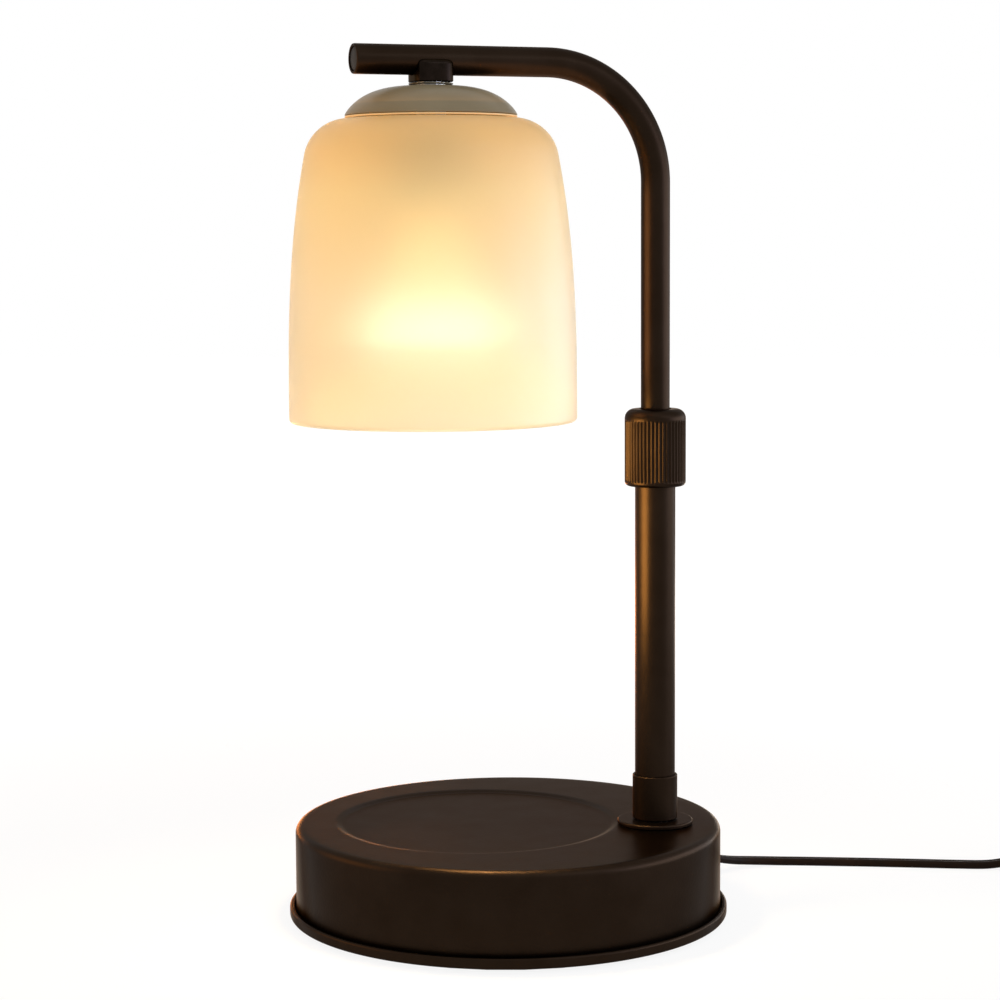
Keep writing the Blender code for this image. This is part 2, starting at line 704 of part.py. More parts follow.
def settle(obj):
    """Make a piece's evaluated shape its own mesh, smooth but for its sharp edges."""
    graph = bpy.context.evaluated_depsgraph_get()
    mesh = bpy.data.meshes.new_from_object(obj.evaluated_get(graph))
    obj.modifiers.clear()
    obj.data = mesh
    mesh.shade_smooth()
    mesh.set_sharp_from_angle(angle=SHARP_ANGLE)


def hex_nut(name, bore, bottom, top, parent):
    """A hexagon nut with chamfered corners and a plain bore."""
    corner = NUT_ACROSS_FLATS / math.sqrt(3)
    nut = bar(name, corner, bottom, top, facets=6, material=ZINC_STEEL, parent=parent)
    rounding = turned(
        name + "_chamfer",
        rounded(
            [
                (0.0, top, 0), (corner - NUT_CHAMFER, top, 0), (corner + NUT_CHAMFER, (top + bottom) / 2, 0),
                (corner - NUT_CHAMFER, bottom, 0), (0.0, bottom, 0),
            ],
            closed=False,
        ),
        FACETS_SMALL, parent=parent, closed=False, cutter=True,
    )
    boolean(nut, rounding, "INTERSECT")
    hole = bar(
        name + "_bore", bore, bottom - OVERRUN, top + OVERRUN, facets=FACETS_SMALL, parent=parent, cutter=True
    )
    return boolean(nut, hole)


def pillar_places():
    """Where the pillars stand, round the base's axis."""
    turns = [PILLAR_FIRST_ANGLE + 2 * math.pi * k / PILLAR_COUNT for k in range(PILLAR_COUNT)]
    return [(PILLAR_CIRCLE * math.cos(turn), PILLAR_CIRCLE * math.sin(turn)) for turn in turns]


def recess_outline(top, extra):
    """Outline of the pressed rest: a flat floor and an S-shaped slope up to the top."""
    depth = RECESS_DEPTH
    slope = []
    steps = 2
    for k in range(steps, -1, -1):
        share = k / steps
        rise = (1 - math.cos(math.pi * share)) / 2
        slope.append((RECESS_RADIUS + RECESS_SLOPE * share, top - depth + depth * rise))
    lifted = [(slope[0][0], slope[0][1] + extra)]
    return [(0.0, slope[0][1] + extra)] + lifted + slope[1:] + [(0.0, top - depth)]


def make_base_shell():
    """Pressed drum: flat top with a rounded edge, a shallow round rest, two holes."""
    outline = rounded(
        [(0.0, BASE_HEIGHT, 0), (BASE_RADIUS, BASE_HEIGHT, BASE_EDGE), (BASE_RADIUS, SHELL_BOTTOM, 0)],
        steps=3, closed=False,
    )
    drum = turned("base_shell", outline, FACETS_LARGE, BLACK_PAINT, closed=False)
    shell(drum, BASE_SHEET)
    pressed = turned(
        "rest_underside", recess_outline(SHELL_UNDERSIDE, BASE_SHEET / 2), FACETS_LARGE,
        closed=False, cutter=True,
    )
    pressed.location.x = -RECESS_OFFSET
    boolean(drum, pressed, "UNION")
    rest = turned("rest_face", recess_outline(BASE_HEIGHT, OVERRUN), FACETS_LARGE, closed=False, cutter=True)
    rest.location.x = -RECESS_OFFSET
    boolean(drum, rest)
    post_hole = bar(
        "post_hole", NIPPLE_RADIUS + FIT_GAP, SHELL_UNDERSIDE - OVERRUN, BASE_HEIGHT + OVERRUN,
        parent=POST_FRAME, cutter=True,
    )
    boolean(drum, post_hole)
    cable_hole = bar(
        "cable_hole", RELIEF_NECK_RADIUS + FIT_GAP, BASE_RADIUS - BASE_SHEET - OVERRUN, BASE_RADIUS + OVERRUN,
        places=((0.0, CABLE_LEVEL),), axis="X", squash=RELIEF_FLAT_SHARE, parent=CABLE_FRAME, cutter=True,
    )
    boolean(drum, cable_hole)


def make_base_plate():
    """Flat bottom plate whose rim is folded up into a rounded hem round the drum."""
    inner = PLATE_RADIUS - LIP_WIDTH
    top = PLATE_BOTTOM + LIP_RISE
    hem = LIP_WIDTH * 0.49
    outline = rounded(
        [
            (0.0, PLATE_TOP, 0), (inner, PLATE_TOP, 0), (inner, top, hem), (PLATE_RADIUS, top, hem),
            (PLATE_RADIUS, PLATE_BOTTOM, PLATE_EDGE), (0.0, PLATE_BOTTOM, 0),
        ],
        steps=2, closed=False,
    )
    plate = turned("base_plate", outline, FACETS_LARGE, BLACK_PAINT, closed=False)
    holes = bar(
        "plate_holes", SCREW_RADIUS + FIT_GAP, PLATE_BOTTOM - OVERRUN, PLATE_TOP + OVERRUN,
        places=pillar_places(), cutter=True,
    )
    boolean(plate, holes)


def make_foot_pad():
    """Foam disc on the floor, with a hole over each screw head."""
    pad = turned(
        "foot_pad", [(0.0, PAD_THICKNESS), (PAD_RADIUS, PAD_THICKNESS), (PAD_RADIUS, 0.0), (0.0, 0.0)],
        FACETS_LARGE, FOAM, closed=False,
    )
    holes = bar(
        "pad_holes", PAD_HOLE_RADIUS, -OVERRUN, PAD_THICKNESS + OVERRUN, places=pillar_places(), cutter=True
    )
    boolean(pad, holes)


def make_counterweight():
    """Cast disc on the plate, drilled for the pillars and slotted for the cable."""
    outline = rounded(
        [
            (0.0, WEIGHT_TOP, 0), (WEIGHT_RADIUS, WEIGHT_TOP, WEIGHT_EDGE),
            (WEIGHT_RADIUS, WEIGHT_BOTTOM, WEIGHT_EDGE), (0.0, WEIGHT_BOTTOM, 0),
        ],
        steps=1, closed=False,
    )
    weight = turned("counterweight", outline, FACETS_MEDIUM, CAST_IRON, closed=False)
    holes = bar(
        "weight_holes", PILLAR_NECK + FIT_GAP, WEIGHT_BOTTOM - OVERRUN, WEIGHT_TOP + OVERRUN,
        places=pillar_places(), cutter=True,
    )
    boolean(weight, holes)
    slot = block(
        "cable_slot", (CABLE_SLOT_END, -CABLE_SLOT / 2, WEIGHT_BOTTOM - OVERRUN),
        (WEIGHT_RADIUS + OVERRUN, CABLE_SLOT / 2, WEIGHT_TOP + OVERRUN), parent=CABLE_FRAME, cutter=True,
    )
    boolean(weight, slot)


def make_pillars_and_screws():
    """Three stepped pillars that clamp the weight, each with a screw through the plate."""
    bore = SCREW_RADIUS + FIT_GAP
    bore_top = PLATE_BOTTOM + SCREW_LENGTH + OVERRUN
    shoulder = WEIGHT_TOP + SEAT_GAP
    head_top = PLATE_BOTTOM - SEAT_GAP
    for number, (x, y) in enumerate(pillar_places(), start=1):
        stand = frame_at(f"pillar_axis_{number}", (x, y, 0.0))
        turned(
            f"pillar_{number}",
            [
                (0.0, SHELL_UNDERSIDE - SEAT_GAP), (PILLAR_RADIUS, SHELL_UNDERSIDE - SEAT_GAP),
                (PILLAR_RADIUS, shoulder), (PILLAR_NECK, shoulder), (PILLAR_NECK, WEIGHT_BOTTOM),
                (bore, WEIGHT_BOTTOM), (bore, bore_top), (0.0, bore_top),
            ],
            FACETS_TINY, ZINC_STEEL, stand, closed=False,
        )
        turned(
            f"plate_screw_{number}",
            [
                (0.0, PLATE_BOTTOM + SCREW_LENGTH), (SCREW_RADIUS, PLATE_BOTTOM + SCREW_LENGTH),
                (SCREW_RADIUS, head_top), (SCREW_HEAD_RADIUS, head_top),
                (SCREW_HEAD_RADIUS, head_top - SCREW_HEAD_HEIGHT), (0.0, head_top - SCREW_HEAD_HEIGHT),
            ],
            FACETS_TINY, ZINC_STEEL, stand, closed=False,
        )


def make_post_fixing():
    """Nipple through the drum's top, with its nut and washer below and disc above."""
    hole = NIPPLE_RADIUS + FIT_GAP
    nipple_bottom = SHELL_UNDERSIDE - NIPPLE_DROP
    turned(
        "post_nipple",
        [
            (NIPPLE_RADIUS, WEB_TOP), (NIPPLE_RADIUS, nipple_bottom),
            (NIPPLE_BORE, nipple_bottom), (NIPPLE_BORE, WEB_TOP),
        ],
        FACETS_SMALL, ZINC_STEEL, POST_FRAME,
    )
    washer_top = SHELL_UNDERSIDE - SEAT_GAP
    washer_bottom = washer_top - WASHER_THICKNESS
    turned(
        "lock_washer",
        [
            (WASHER_RADIUS, washer_top), (WASHER_RADIUS, washer_bottom),
            (hole, washer_bottom), (hole, washer_top),
        ],
        FACETS_SMALL, ZINC_STEEL, POST_FRAME,
    )
    nut_top = washer_bottom - SEAT_GAP
    hex_nut("post_nut", hole, nut_top - NUT_THICKNESS, nut_top, POST_FRAME)
    disc_top = DISC_BOTTOM + DISC_THICKNESS
    turned(
        "post_disc",
        rounded(
            [
                (DISC_RADIUS, disc_top, DISC_EDGE), (DISC_RADIUS, DISC_BOTTOM, 0),
                (hole, DISC_BOTTOM, 0), (hole, disc_top, 0),
            ],
        ),
        FACETS_MEDIUM, BLACK_PAINT, POST_FRAME,
    )


def make_ferrule_and_lower_tube():
    """Ferrule with a threaded web, and the lower tube seated in it."""
    hole = NIPPLE_RADIUS + FIT_GAP
    socket = LOWER_TUBE_RADIUS + FIT_GAP
    top = FERRULE_BOTTOM + FERRULE_LENGTH
    turned(
        "ferrule",
        rounded(
            [
                (FERRULE_RADIUS, top, FERRULE_EDGE), (FERRULE_RADIUS, FERRULE_BOTTOM, 0),
                (hole, FERRULE_BOTTOM, 0), (hole, WEB_TOP, 0), (socket, WEB_TOP, 0), (socket, top, 0),
            ],
            steps=2,
        ),
        FACETS_MEDIUM, BLACK_PAINT, POST_FRAME,
    )
    turned(
        "lower_tube",
        [
            (LOWER_TUBE_RADIUS, LOWER_TUBE_TOP), (LOWER_TUBE_RADIUS, LOWER_TUBE_BOTTOM),
            (LOWER_TUBE_BORE, LOWER_TUBE_BOTTOM), (LOWER_TUBE_BORE, LOWER_TUBE_TOP),
        ],
        FACETS_MEDIUM, BLACK_PAINT, POST_FRAME,
    )


def make_collet():
    """Nylon collet: a spigot in the lower tube, a flange on its end, and a split cone above."""
    bore = TUBE_RADIUS + RUN_GAP
    spigot = LOWER_TUBE_BORE - FIT_GAP
    spigot_bottom = COLLET_BOTTOM - COLLET_SPIGOT
    collet = turned(
        "collet",
        [
            (COLLET_TIP_RADIUS, COLLET_TOP), (COLLET_RADIUS, COLLET_CONE_BOTTOM),
            (COLLET_RADIUS, COLLET_BOTTOM), (spigot, COLLET_BOTTOM), (spigot, spigot_bottom),
            (bore, spigot_bottom), (bore, COLLET_TOP),
        ],
        FACETS_MEDIUM, NYLON, POST_FRAME,
    )
    reach = COLLET_RADIUS + OVERRUN
    across = COLLET_SLOT / 2
    for name, x, y in (("collet_slot_x", reach, across), ("collet_slot_y", across, reach)):
        slot = block(
            name, (-x, -y, COLLET_CONE_BOTTOM), (x, y, COLLET_TOP + OVERRUN), parent=POST_FRAME, cutter=True
        )
        boolean(collet, slot)


def make_lock_collar():
    """Knurled collar: it screws down over the tube and its cone squeezes the collet."""
    foot_height = COLLAR_BOTTOM + COLLAR_FOOT
    shoulder_height = COLLAR_TOP - COLLAR_SHOULDER
    rows = arc_rows(foot_height, COLLAR_RADIUS - COLLAR_FOOT, COLLAR_FOOT, -math.pi / 2, 0.0, 1)
    rows.append((foot_height + RIB_RUNOUT, COLLAR_RADIUS, 1.0))
    rows.append((shoulder_height - 2 * RIB_RUNOUT, COLLAR_RADIUS, 1.0))
    rows.append((shoulder_height - RIB_RUNOUT, COLLAR_RADIUS, 0.0))
    rows += arc_rows(shoulder_height, COLLAR_RADIUS - COLLAR_SHOULDER, COLLAR_SHOULDER, 0.0, math.pi / 2, 3)
    collar = lofted(
        "lock_collar", drum_sections(rows, RIB_COUNT, RIB_DEPTH), material=BLACK_PAINT, parent=POST_FRAME
    )
    thread = LOWER_TUBE_RADIUS + RUN_GAP
    relief = COLLET_RADIUS + RUN_GAP
    mouth = TUBE_RADIUS + RUN_GAP
    web_bottom = COLLAR_TOP - COLLAR_WEB
    bore = turned(
        "collar_bore",
        [
            (0.0, COLLAR_TOP + OVERRUN), (mouth, COLLAR_TOP + OVERRUN), (mouth, web_bottom),
            (COLLET_TIP_RADIUS + RUN_GAP, web_bottom), (relief, COLLET_CONE_BOTTOM + RUN_GAP),
            (relief, LOWER_TUBE_TOP), (thread, LOWER_TUBE_TOP), (thread, COLLAR_BOTTOM - OVERRUN),
            (0.0, COLLAR_BOTTOM - OVERRUN),
        ],
        FACETS_MEDIUM, parent=POST_FRAME, closed=False, cutter=True,
    )
    boolean(collar, bore)


def arm_path(low, end):
    """Centreline of the bent tube, from a height on the post's axis to a reach along the arm."""
    points = [(0.0, 0.0, low)]
    for k in range(BEND_STEPS + 1):
        angle = math.pi / 2 * k / BEND_STEPS
        points.append(
            (
                BEND_RADIUS * (1 - math.cos(angle)), 0.0,
                ARM_LEVEL - BEND_RADIUS * (1 - math.sin(angle)),
            )
        )
    points.append((end, 0.0, ARM_LEVEL))
    return points


def make_upper_tube():
    """Bent steel tube: it slides in the post, and its level end carries the head."""
    end = ARM_REACH + ARM_TAIL
    tube = round_tube("upper_tube", arm_path(TUBE_END, end), TUBE_RADIUS, 6, BLACK_PAINT, ARM_FRAME)
    bead_bottom = BUSH_TOP + SEAT_GAP
    inside = TUBE_RADIUS - TUBE_WALL / 2
    bead = turned(
        "tube_bead",
        [
            (BEAD_RADIUS, bead_bottom + BEAD_HEIGHT), (BEAD_RADIUS, bead_bottom),
            (inside, bead_bottom), (inside, bead_bottom + BEAD_HEIGHT),
        ],
        FACETS_SMALL, parent=ARM_FRAME, cutter=True,
    )
    boolean(tube, bead, "UNION")
    bore = round_tube(
        "tube_bore", arm_path(TUBE_END - OVERRUN, end + OVERRUN), TUBE_BORE, 4, None, ARM_FRAME, True
    )
    boolean(tube, bore)
    lead_hole = bar(
        "lead_hole", LEAD_HOLE, ARM_LEVEL - TUBE_RADIUS - OVERRUN, ARM_LEVEL, parent=HEAD_FRAME, cutter=True
    )
    boolean(tube, lead_hole)
    plug_end = end - PLUG_INSET
    bar(
        "arm_plug", TUBE_BORE - FIT_GAP, plug_end - PLUG_LENGTH, plug_end, places=((0.0, ARM_LEVEL),),
        axis="X", material=HOUSING, parent=ARM_FRAME,
    )


def make_guide_bush():
    """Nylon bush that slides in the lower tube, and the split snap ring under it."""
    inner = TUBE_RADIUS + RUN_GAP
    outer = LOWER_TUBE_BORE - RUN_GAP
    turned(
        "guide_bush", [(outer, BUSH_TOP), (outer, BUSH_BOTTOM), (inner, BUSH_BOTTOM), (inner, BUSH_TOP)],
        FACETS_MEDIUM, NYLON, POST_FRAME,
    )
    top = BUSH_BOTTOM - SEAT_GAP
    bottom = top - SNAP_THICKNESS
    hole = TUBE_RADIUS + FIT_GAP
    ring = turned(
        "snap_ring", [(SNAP_RADIUS, top), (SNAP_RADIUS, bottom), (hole, bottom), (hole, top)],
        FACETS_SMALL, ZINC_STEEL, ARM_FRAME,
    )
    split = block(
        "snap_ring_opening", (0.0, -SNAP_OPENING / 2, bottom - OVERRUN),
        (SNAP_RADIUS + OVERRUN, SNAP_OPENING / 2, top + OVERRUN), parent=ARM_FRAME, cutter=True,
    )
    boolean(ring, split)


def neck_section(inset, height):
    """A squarish oval section of the neck."""
    points = []
    for k in range(FACETS_MEDIUM):
        angle = 2 * math.pi * k / FACETS_MEDIUM
        x, y = math.cos(angle), math.sin(angle)
        reach = (abs(x) ** NECK_SQUARENESS + abs(y) ** NECK_SQUARENESS) ** (-1 / NECK_SQUARENESS)
        points.append(((NECK_HALF_LENGTH - inset) * x * reach, (NECK_HALF_WIDTH - inset) * y * reach, height))
    return points


def make_neck():
    """Squarish neck saddled under the arm, its washer, and the threaded tube that hangs the head."""
    hole = NIPPLE_RADIUS + FIT_GAP
    sections = [neck_section(0.0, NECK_BOTTOM)]
    for k in range(NECK_EDGE_STEPS + 1):
        angle = math.pi / 2 * k / NECK_EDGE_STEPS
        sections.append(
            neck_section(NECK_EDGE * (1 - math.cos(angle)), ARM_LEVEL - NECK_EDGE * (1 - math.sin(angle)))
        )
    neck = lofted("neck", sections, material=BLACK_PAINT, parent=HEAD_FRAME)
    bore = bar("neck_bore", hole, NECK_BOTTOM - OVERRUN, ARM_LEVEL + OVERRUN, parent=HEAD_FRAME, cutter=True)
    boolean(neck, bore)
    reach = NECK_HALF_LENGTH + OVERRUN
    saddle = bar(
        "neck_saddle", TUBE_RADIUS + FIT_GAP, -reach, reach, facets=FACETS_MEDIUM,
        places=((0.0, ARM_LEVEL),), axis="X", parent=HEAD_FRAME, cutter=True,
    )
    boolean(neck, saddle)
    washer_bottom = NECK_WASHER_TOP - NECK_WASHER_THICKNESS
    turned(
        "neck_washer",
        [
            (NECK_WASHER_RADIUS, NECK_WASHER_TOP), (NECK_WASHER_RADIUS, washer_bottom),
            (hole, washer_bottom), (hole, NECK_WASHER_TOP),
        ],
        FACETS_SMALL, ZINC_STEEL, HEAD_FRAME,
    )
    tube_top = ARM_LEVEL - TUBE_RADIUS - FIT_GAP - SEAT_GAP
    turned(
        "neck_tube",
        [
            (NIPPLE_RADIUS, tube_top), (NIPPLE_RADIUS, CUP_COLLAR_BOTTOM), (NIPPLE_BORE, CUP_COLLAR_BOTTOM),
            (NIPPLE_BORE, tube_top),
        ],
        FACETS_SMALL, ZINC_STEEL, HEAD_FRAME,
    )


def make_dome():
    """Spun dome canopy with a flat crown and a falling edge, and the gasket under it."""
    hole = NIPPLE_RADIUS + FIT_GAP
    outline = []
    for k in range(DOME_STEPS + 1):
        radius = hole + (DOME_RADIUS - hole) * math.sin(math.pi / 2 * k / DOME_STEPS)
        fall = 1 - (radius / DOME_RADIUS) ** DOME_POWER
        outline.append((radius, DOME_EDGE_LEVEL + DOME_RISE * max(0.0, fall) ** DOME_ROUND))
    dome = turned("dome_canopy", outline, FACETS_LARGE, DOME_ENAMEL, HEAD_FRAME, closed=False)
    shell(dome, DOME_SHEET)
    trim = bar(
        "dome_edge_trim", DOME_RADIUS + OVERRUN, DOME_EDGE_LEVEL - OVERRUN, DOME_EDGE_LEVEL,
        parent=HEAD_FRAME, cutter=True,
    )
    boolean(dome, trim)
    bottom = GASKET_TOP - GASKET_THICKNESS
    inner = DOME_RADIUS - GASKET_WIDTH
    turned(
        "shade_gasket",
        [(DOME_RADIUS, GASKET_TOP), (DOME_RADIUS, bottom), (inner, bottom), (inner, GASKET_TOP)],
        FACETS_LARGE, SILICONE, HEAD_FRAME,
    )


def shade_outline():
    """Outer face of the glass: flat top, round shoulder, and a wall that flares to the rim."""
    spread = SHADE_RIM_RADIUS - SHADE_TOP_RADIUS
    lean = math.atan(SHADE_FLARE_POWER * spread / (SHADE_HEIGHT - SHADE_SHOULDER))
    centre_radius = SHADE_TOP_RADIUS - SHADE_SHOULDER * math.cos(lean)
    centre_height = SHADE_TOP - SHADE_SHOULDER
    outline = [(SHADE_HOLE_RADIUS, SHADE_TOP)]
    for k in range(SHADE_SHOULDER_STEPS + 1):
        angle = math.pi / 2 + (lean - math.pi / 2) * k / SHADE_SHOULDER_STEPS
        outline.append(
            (centre_radius + SHADE_SHOULDER * math.cos(angle), centre_height + SHADE_SHOULDER * math.sin(angle))
        )
    wall_top = outline[-1][1]
    for k in range(1, SHADE_WALL_STEPS + 1):
        share = 1 - k / SHADE_WALL_STEPS
        outline.append(
            (
                SHADE_RIM_RADIUS - spread * share**SHADE_FLARE_POWER,
                SHADE_RIM_LEVEL + (wall_top - SHADE_RIM_LEVEL) * share,
            )
        )
    return outline


def make_shade():
    """Blown glass bell, and the fibre ring, washer and nut that clamp it."""
    glass = turned("glass_shade", shade_outline(), FACETS_LARGE, FROSTED_GLASS, HEAD_FRAME, closed=False)
    shell(glass, SHADE_WALL)
    soften(glass, SHADE_LIP)
    hole = NIPPLE_RADIUS + FIT_GAP
    ring_bottom = SEAT_RING_TOP - SEAT_RING_THICKNESS
    turned(
        "seat_ring",
        [
            (SEAT_RING_RADIUS, SEAT_RING_TOP), (SEAT_RING_RADIUS, ring_bottom),
            (hole, ring_bottom), (hole, SEAT_RING_TOP),
        ],
        FACETS_SMALL, FIBRE, HEAD_FRAME,
    )
    washer_bottom = CLAMP_WASHER_TOP - CLAMP_WASHER_THICKNESS
    turned(
        "clamp_washer",
        [
            (CLAMP_WASHER_RADIUS, CLAMP_WASHER_TOP), (CLAMP_WASHER_RADIUS, washer_bottom),
            (hole, washer_bottom), (hole, CLAMP_WASHER_TOP),
        ],
        FACETS_SMALL, ZINC_STEEL, HEAD_FRAME,
    )
    hex_nut("clamp_nut", hole, CLAMP_NUT_TOP - CLAMP_NUT_THICKNESS, CLAMP_NUT_TOP, HEAD_FRAME)


def make_lamp_holder():
    """Steel cup screwed on the neck tube, and the ceramic holder inside it."""
    hole = NIPPLE_RADIUS + FIT_GAP
    inner = CUP_RADIUS - CUP_SHEET
    web_bottom = CUP_TOP - CUP_SHEET
    turned(
        "holder_cup",
        rounded(
            [
                (CUP_RADIUS, CUP_TOP, CUP_SHEET), (CUP_RADIUS, CUP_TOP - CUP_HEIGHT, 0),
                (inner, CUP_TOP - CUP_HEIGHT, 0), (inner, web_bottom, 0), (CUP_COLLAR_RADIUS, web_bottom, 0),
                (CUP_COLLAR_RADIUS, CUP_COLLAR_BOTTOM, 0), (hole, CUP_COLLAR_BOTTOM, 0), (hole, CUP_TOP, 0),
            ],
            steps=2,
        ),
        FACETS_SMALL, ZINC_STEEL, HEAD_FRAME,
    )
    holder = turned(
        "lamp_holder",
        rounded(
            [
                (0.0, HOLDER_TOP, 0), (HOLDER_RADIUS, HOLDER_TOP, 0),
                (HOLDER_RADIUS, HOLDER_BOTTOM, HOLDER_EDGE), (0.0, HOLDER_BOTTOM, 0),
            ],
            steps=2, closed=False,
        ),
        FACETS_SMALL, CERAMIC, HEAD_FRAME, closed=False,
    )
    sockets = bar(
        "pin_sockets", SOCKET_RADIUS, HOLDER_BOTTOM - OVERRUN, HOLDER_BOTTOM + SOCKET_DEPTH,
        places=((0.0, -PIN_SPACING / 2), (0.0, PIN_SPACING / 2)), parent=HEAD_FRAME, cutter=True,
    )
    boolean(holder, sockets)


def bowl_points(rim_radius, neck_radius, rim_height, neck_height):
    """Points down a parabolic bowl from its neck to its rim."""
    points = []
    for k in range(BULB_BOWL_STEPS + 1):
        radius = neck_radius + (rim_radius - neck_radius) * k / BULB_BOWL_STEPS
        fall = (radius**2 - neck_radius**2) / (rim_radius**2 - neck_radius**2)
        points.append((radius, neck_height - (neck_height - rim_height) * fall))
    return points


def make_bulb():
    """Reflector bulb: glass bowl and base in one, capsule, lens and two headed pins."""
    rim_top = BULB_BOTTOM + BULB_RIM_HEIGHT
    neck_level = rim_top + BULB_BOWL_HEIGHT
    seat = CAPSULE_RADIUS + FIT_GAP
    inner_rim = BULB_RADIUS - BULB_WALL
    seat_top = neck_level + CAPSULE_SEAT
    base = rounded(
        [(0.0, BULB_TOP, 0), (BULB_NECK_RADIUS, BULB_TOP, BULB_NECK_EDGE), (BULB_NECK_RADIUS, neck_level, 0)],
        steps=2, closed=False,
    )
    inside = bowl_points(inner_rim, seat, rim_top, neck_level - BULB_WALL)
    outline = (
        base[:-1] + bowl_points(BULB_RADIUS, BULB_NECK_RADIUS, rim_top, neck_level)
        + [(BULB_RADIUS, BULB_BOTTOM), (inner_rim, BULB_BOTTOM)] + inside[::-1]
        + [(seat, seat_top), (0.0, seat_top)]
    )
    turned("bulb_reflector", outline, FACETS_MEDIUM, CLEAR_GLASS, HEAD_FRAME, closed=False)
    capsule_top = seat_top - SEAT_GAP
    turned(
        "bulb_capsule",
        rounded(
            [
                (0.0, capsule_top, 0), (CAPSULE_RADIUS, capsule_top, 0),
                (CAPSULE_RADIUS, capsule_top - CAPSULE_LENGTH, CAPSULE_RADIUS * 0.9),
                (0.0, capsule_top - CAPSULE_LENGTH, 0),
            ],
            closed=False,
        ),
        FACETS_SMALL, CLEAR_GLASS, HEAD_FRAME, closed=False,
    )
    lens = inner_rim - FIT_GAP
    turned(
        "bulb_lens",
        [
            (0.0, BULB_BOTTOM + LENS_THICKNESS + LENS_CROWN), (lens, BULB_BOTTOM + LENS_THICKNESS + LENS_CROWN),
            (lens, BULB_BOTTOM + LENS_CROWN), (lens * 0.6, BULB_BOTTOM + LENS_CROWN * 0.36), (0.0, BULB_BOTTOM),
        ],
        FACETS_MEDIUM, CLEAR_GLASS, HEAD_FRAME, closed=False,
    )
    bottom = BULB_TOP + SEAT_GAP
    head = bottom + PIN_LENGTH - PIN_HEAD_HEIGHT
    for number, side in ((1, -1), (2, 1)):
        place = frame_at(f"pin_axis_{number}", (0.0, side * PIN_SPACING / 2, 0.0), parent=HEAD_FRAME)
        turned(
            f"bulb_pin_{number}",
            [
                (0.0, bottom + PIN_LENGTH), (PIN_HEAD_RADIUS, bottom + PIN_LENGTH), (PIN_HEAD_RADIUS, head),
                (PIN_RADIUS, head), (PIN_RADIUS, bottom), (0.0, bottom),
            ],
            FACETS_TINY, BRASS, place, closed=False,
        )


def make_strain_relief():
    """Moulded oval strain relief: inner flange, neck in the wall, collar, drooping grooved tail."""
    wall_in = BASE_RADIUS - BASE_SHEET
    start = wall_in - SEAT_GAP * 2 - RELIEF_FLANGE
    collar_in = BASE_RADIUS + SEAT_GAP
    collar_out = collar_in + RELIEF_COLLAR
    tip = collar_out + RELIEF_TAIL
    points = [
        (0.0, start), (RELIEF_FLANGE_RADIUS, start), (RELIEF_FLANGE_RADIUS, start + RELIEF_FLANGE),
        (RELIEF_NECK_RADIUS, start + RELIEF_FLANGE), (RELIEF_NECK_RADIUS, collar_in),
        (RELIEF_COLLAR_RADIUS, collar_in), (RELIEF_COLLAR_RADIUS, collar_out),
    ]
    for k in range(RELIEF_GROOVES):
        for share, sunk in ((0.15, 0), (0.45, 0), (0.55, 1), (0.85, 1)):
            along = (k + share) / RELIEF_GROOVES
            radius = RELIEF_TAIL_RADIUS + (RELIEF_TIP_RADIUS - RELIEF_TAIL_RADIUS) * along
            points.append((radius - RELIEF_GROOVE * sunk, collar_out + RELIEF_TAIL * along))
    points += [(RELIEF_TIP_RADIUS, tip), (0.0, tip)]
    relief = turned(
        "strain_relief", [(r, -s) for r, s in points], FACETS_TINY, DARK_PVC, CABLE_FRAME, closed=False
    )
    graph = bpy.context.evaluated_depsgraph_get()
    mesh = bpy.data.meshes.new_from_object(relief.evaluated_get(graph))
    relief.modifiers.clear()
    relief.data = mesh
    lie = Matrix.Rotation(-math.pi / 2, 4, "Y")
    flat = Matrix.Diagonal((1.0, 1.0, RELIEF_FLAT_SHARE, 1.0))
    mesh.transform(flat @ lie)
    bend = RELIEF_TAIL / RELIEF_DROOP
    for vertex in mesh.vertices:
        angle = max(0.0, vertex.co.x - collar_out) / bend
        if angle > 0.0:
            reach = bend + vertex.co.z
            vertex.co.x = collar_out + reach * math.sin(angle)
            vertex.co.z = reach * math.cos(angle) - bend
    relief.location.z = CABLE_LEVEL
    return start


def make_terminal_block():
    """Two-way terminal block on the plate, in the weight's cable slot."""
    low = (BLOCK_CENTRE - BLOCK_LENGTH / 2, -BLOCK_WIDTH / 2, PLATE_TOP + SEAT_GAP)
    high = (BLOCK_CENTRE + BLOCK_LENGTH / 2, BLOCK_WIDTH / 2, PLATE_TOP + SEAT_GAP + BLOCK_HEIGHT)
    body = block("terminal_block", low, high, material=NYLON, parent=CABLE_FRAME)
    soften(body, BLOCK_EDGE)
    places = [
        (BLOCK_CENTRE + sx * BLOCK_LENGTH / 4, sy * BLOCK_WIDTH / 4) for sx in (-1, 1) for sy in (-1, 1)
    ]
    turrets = bar(
        "turrets", TURRET_RADIUS, high[2] - BLOCK_EDGE, high[2] + TURRET_RISE, facets=FACETS_TINY,
        places=places, parent=CABLE_FRAME, cutter=True,
    )
    boolean(body, turrets, "UNION")
    bores = bar(
        "turret_bores", TURRET_BORE, high[2], high[2] + TURRET_RISE + OVERRUN, facets=FACETS_TINY,
        places=places, parent=CABLE_FRAME, cutter=True,
    )
    boolean(body, bores)


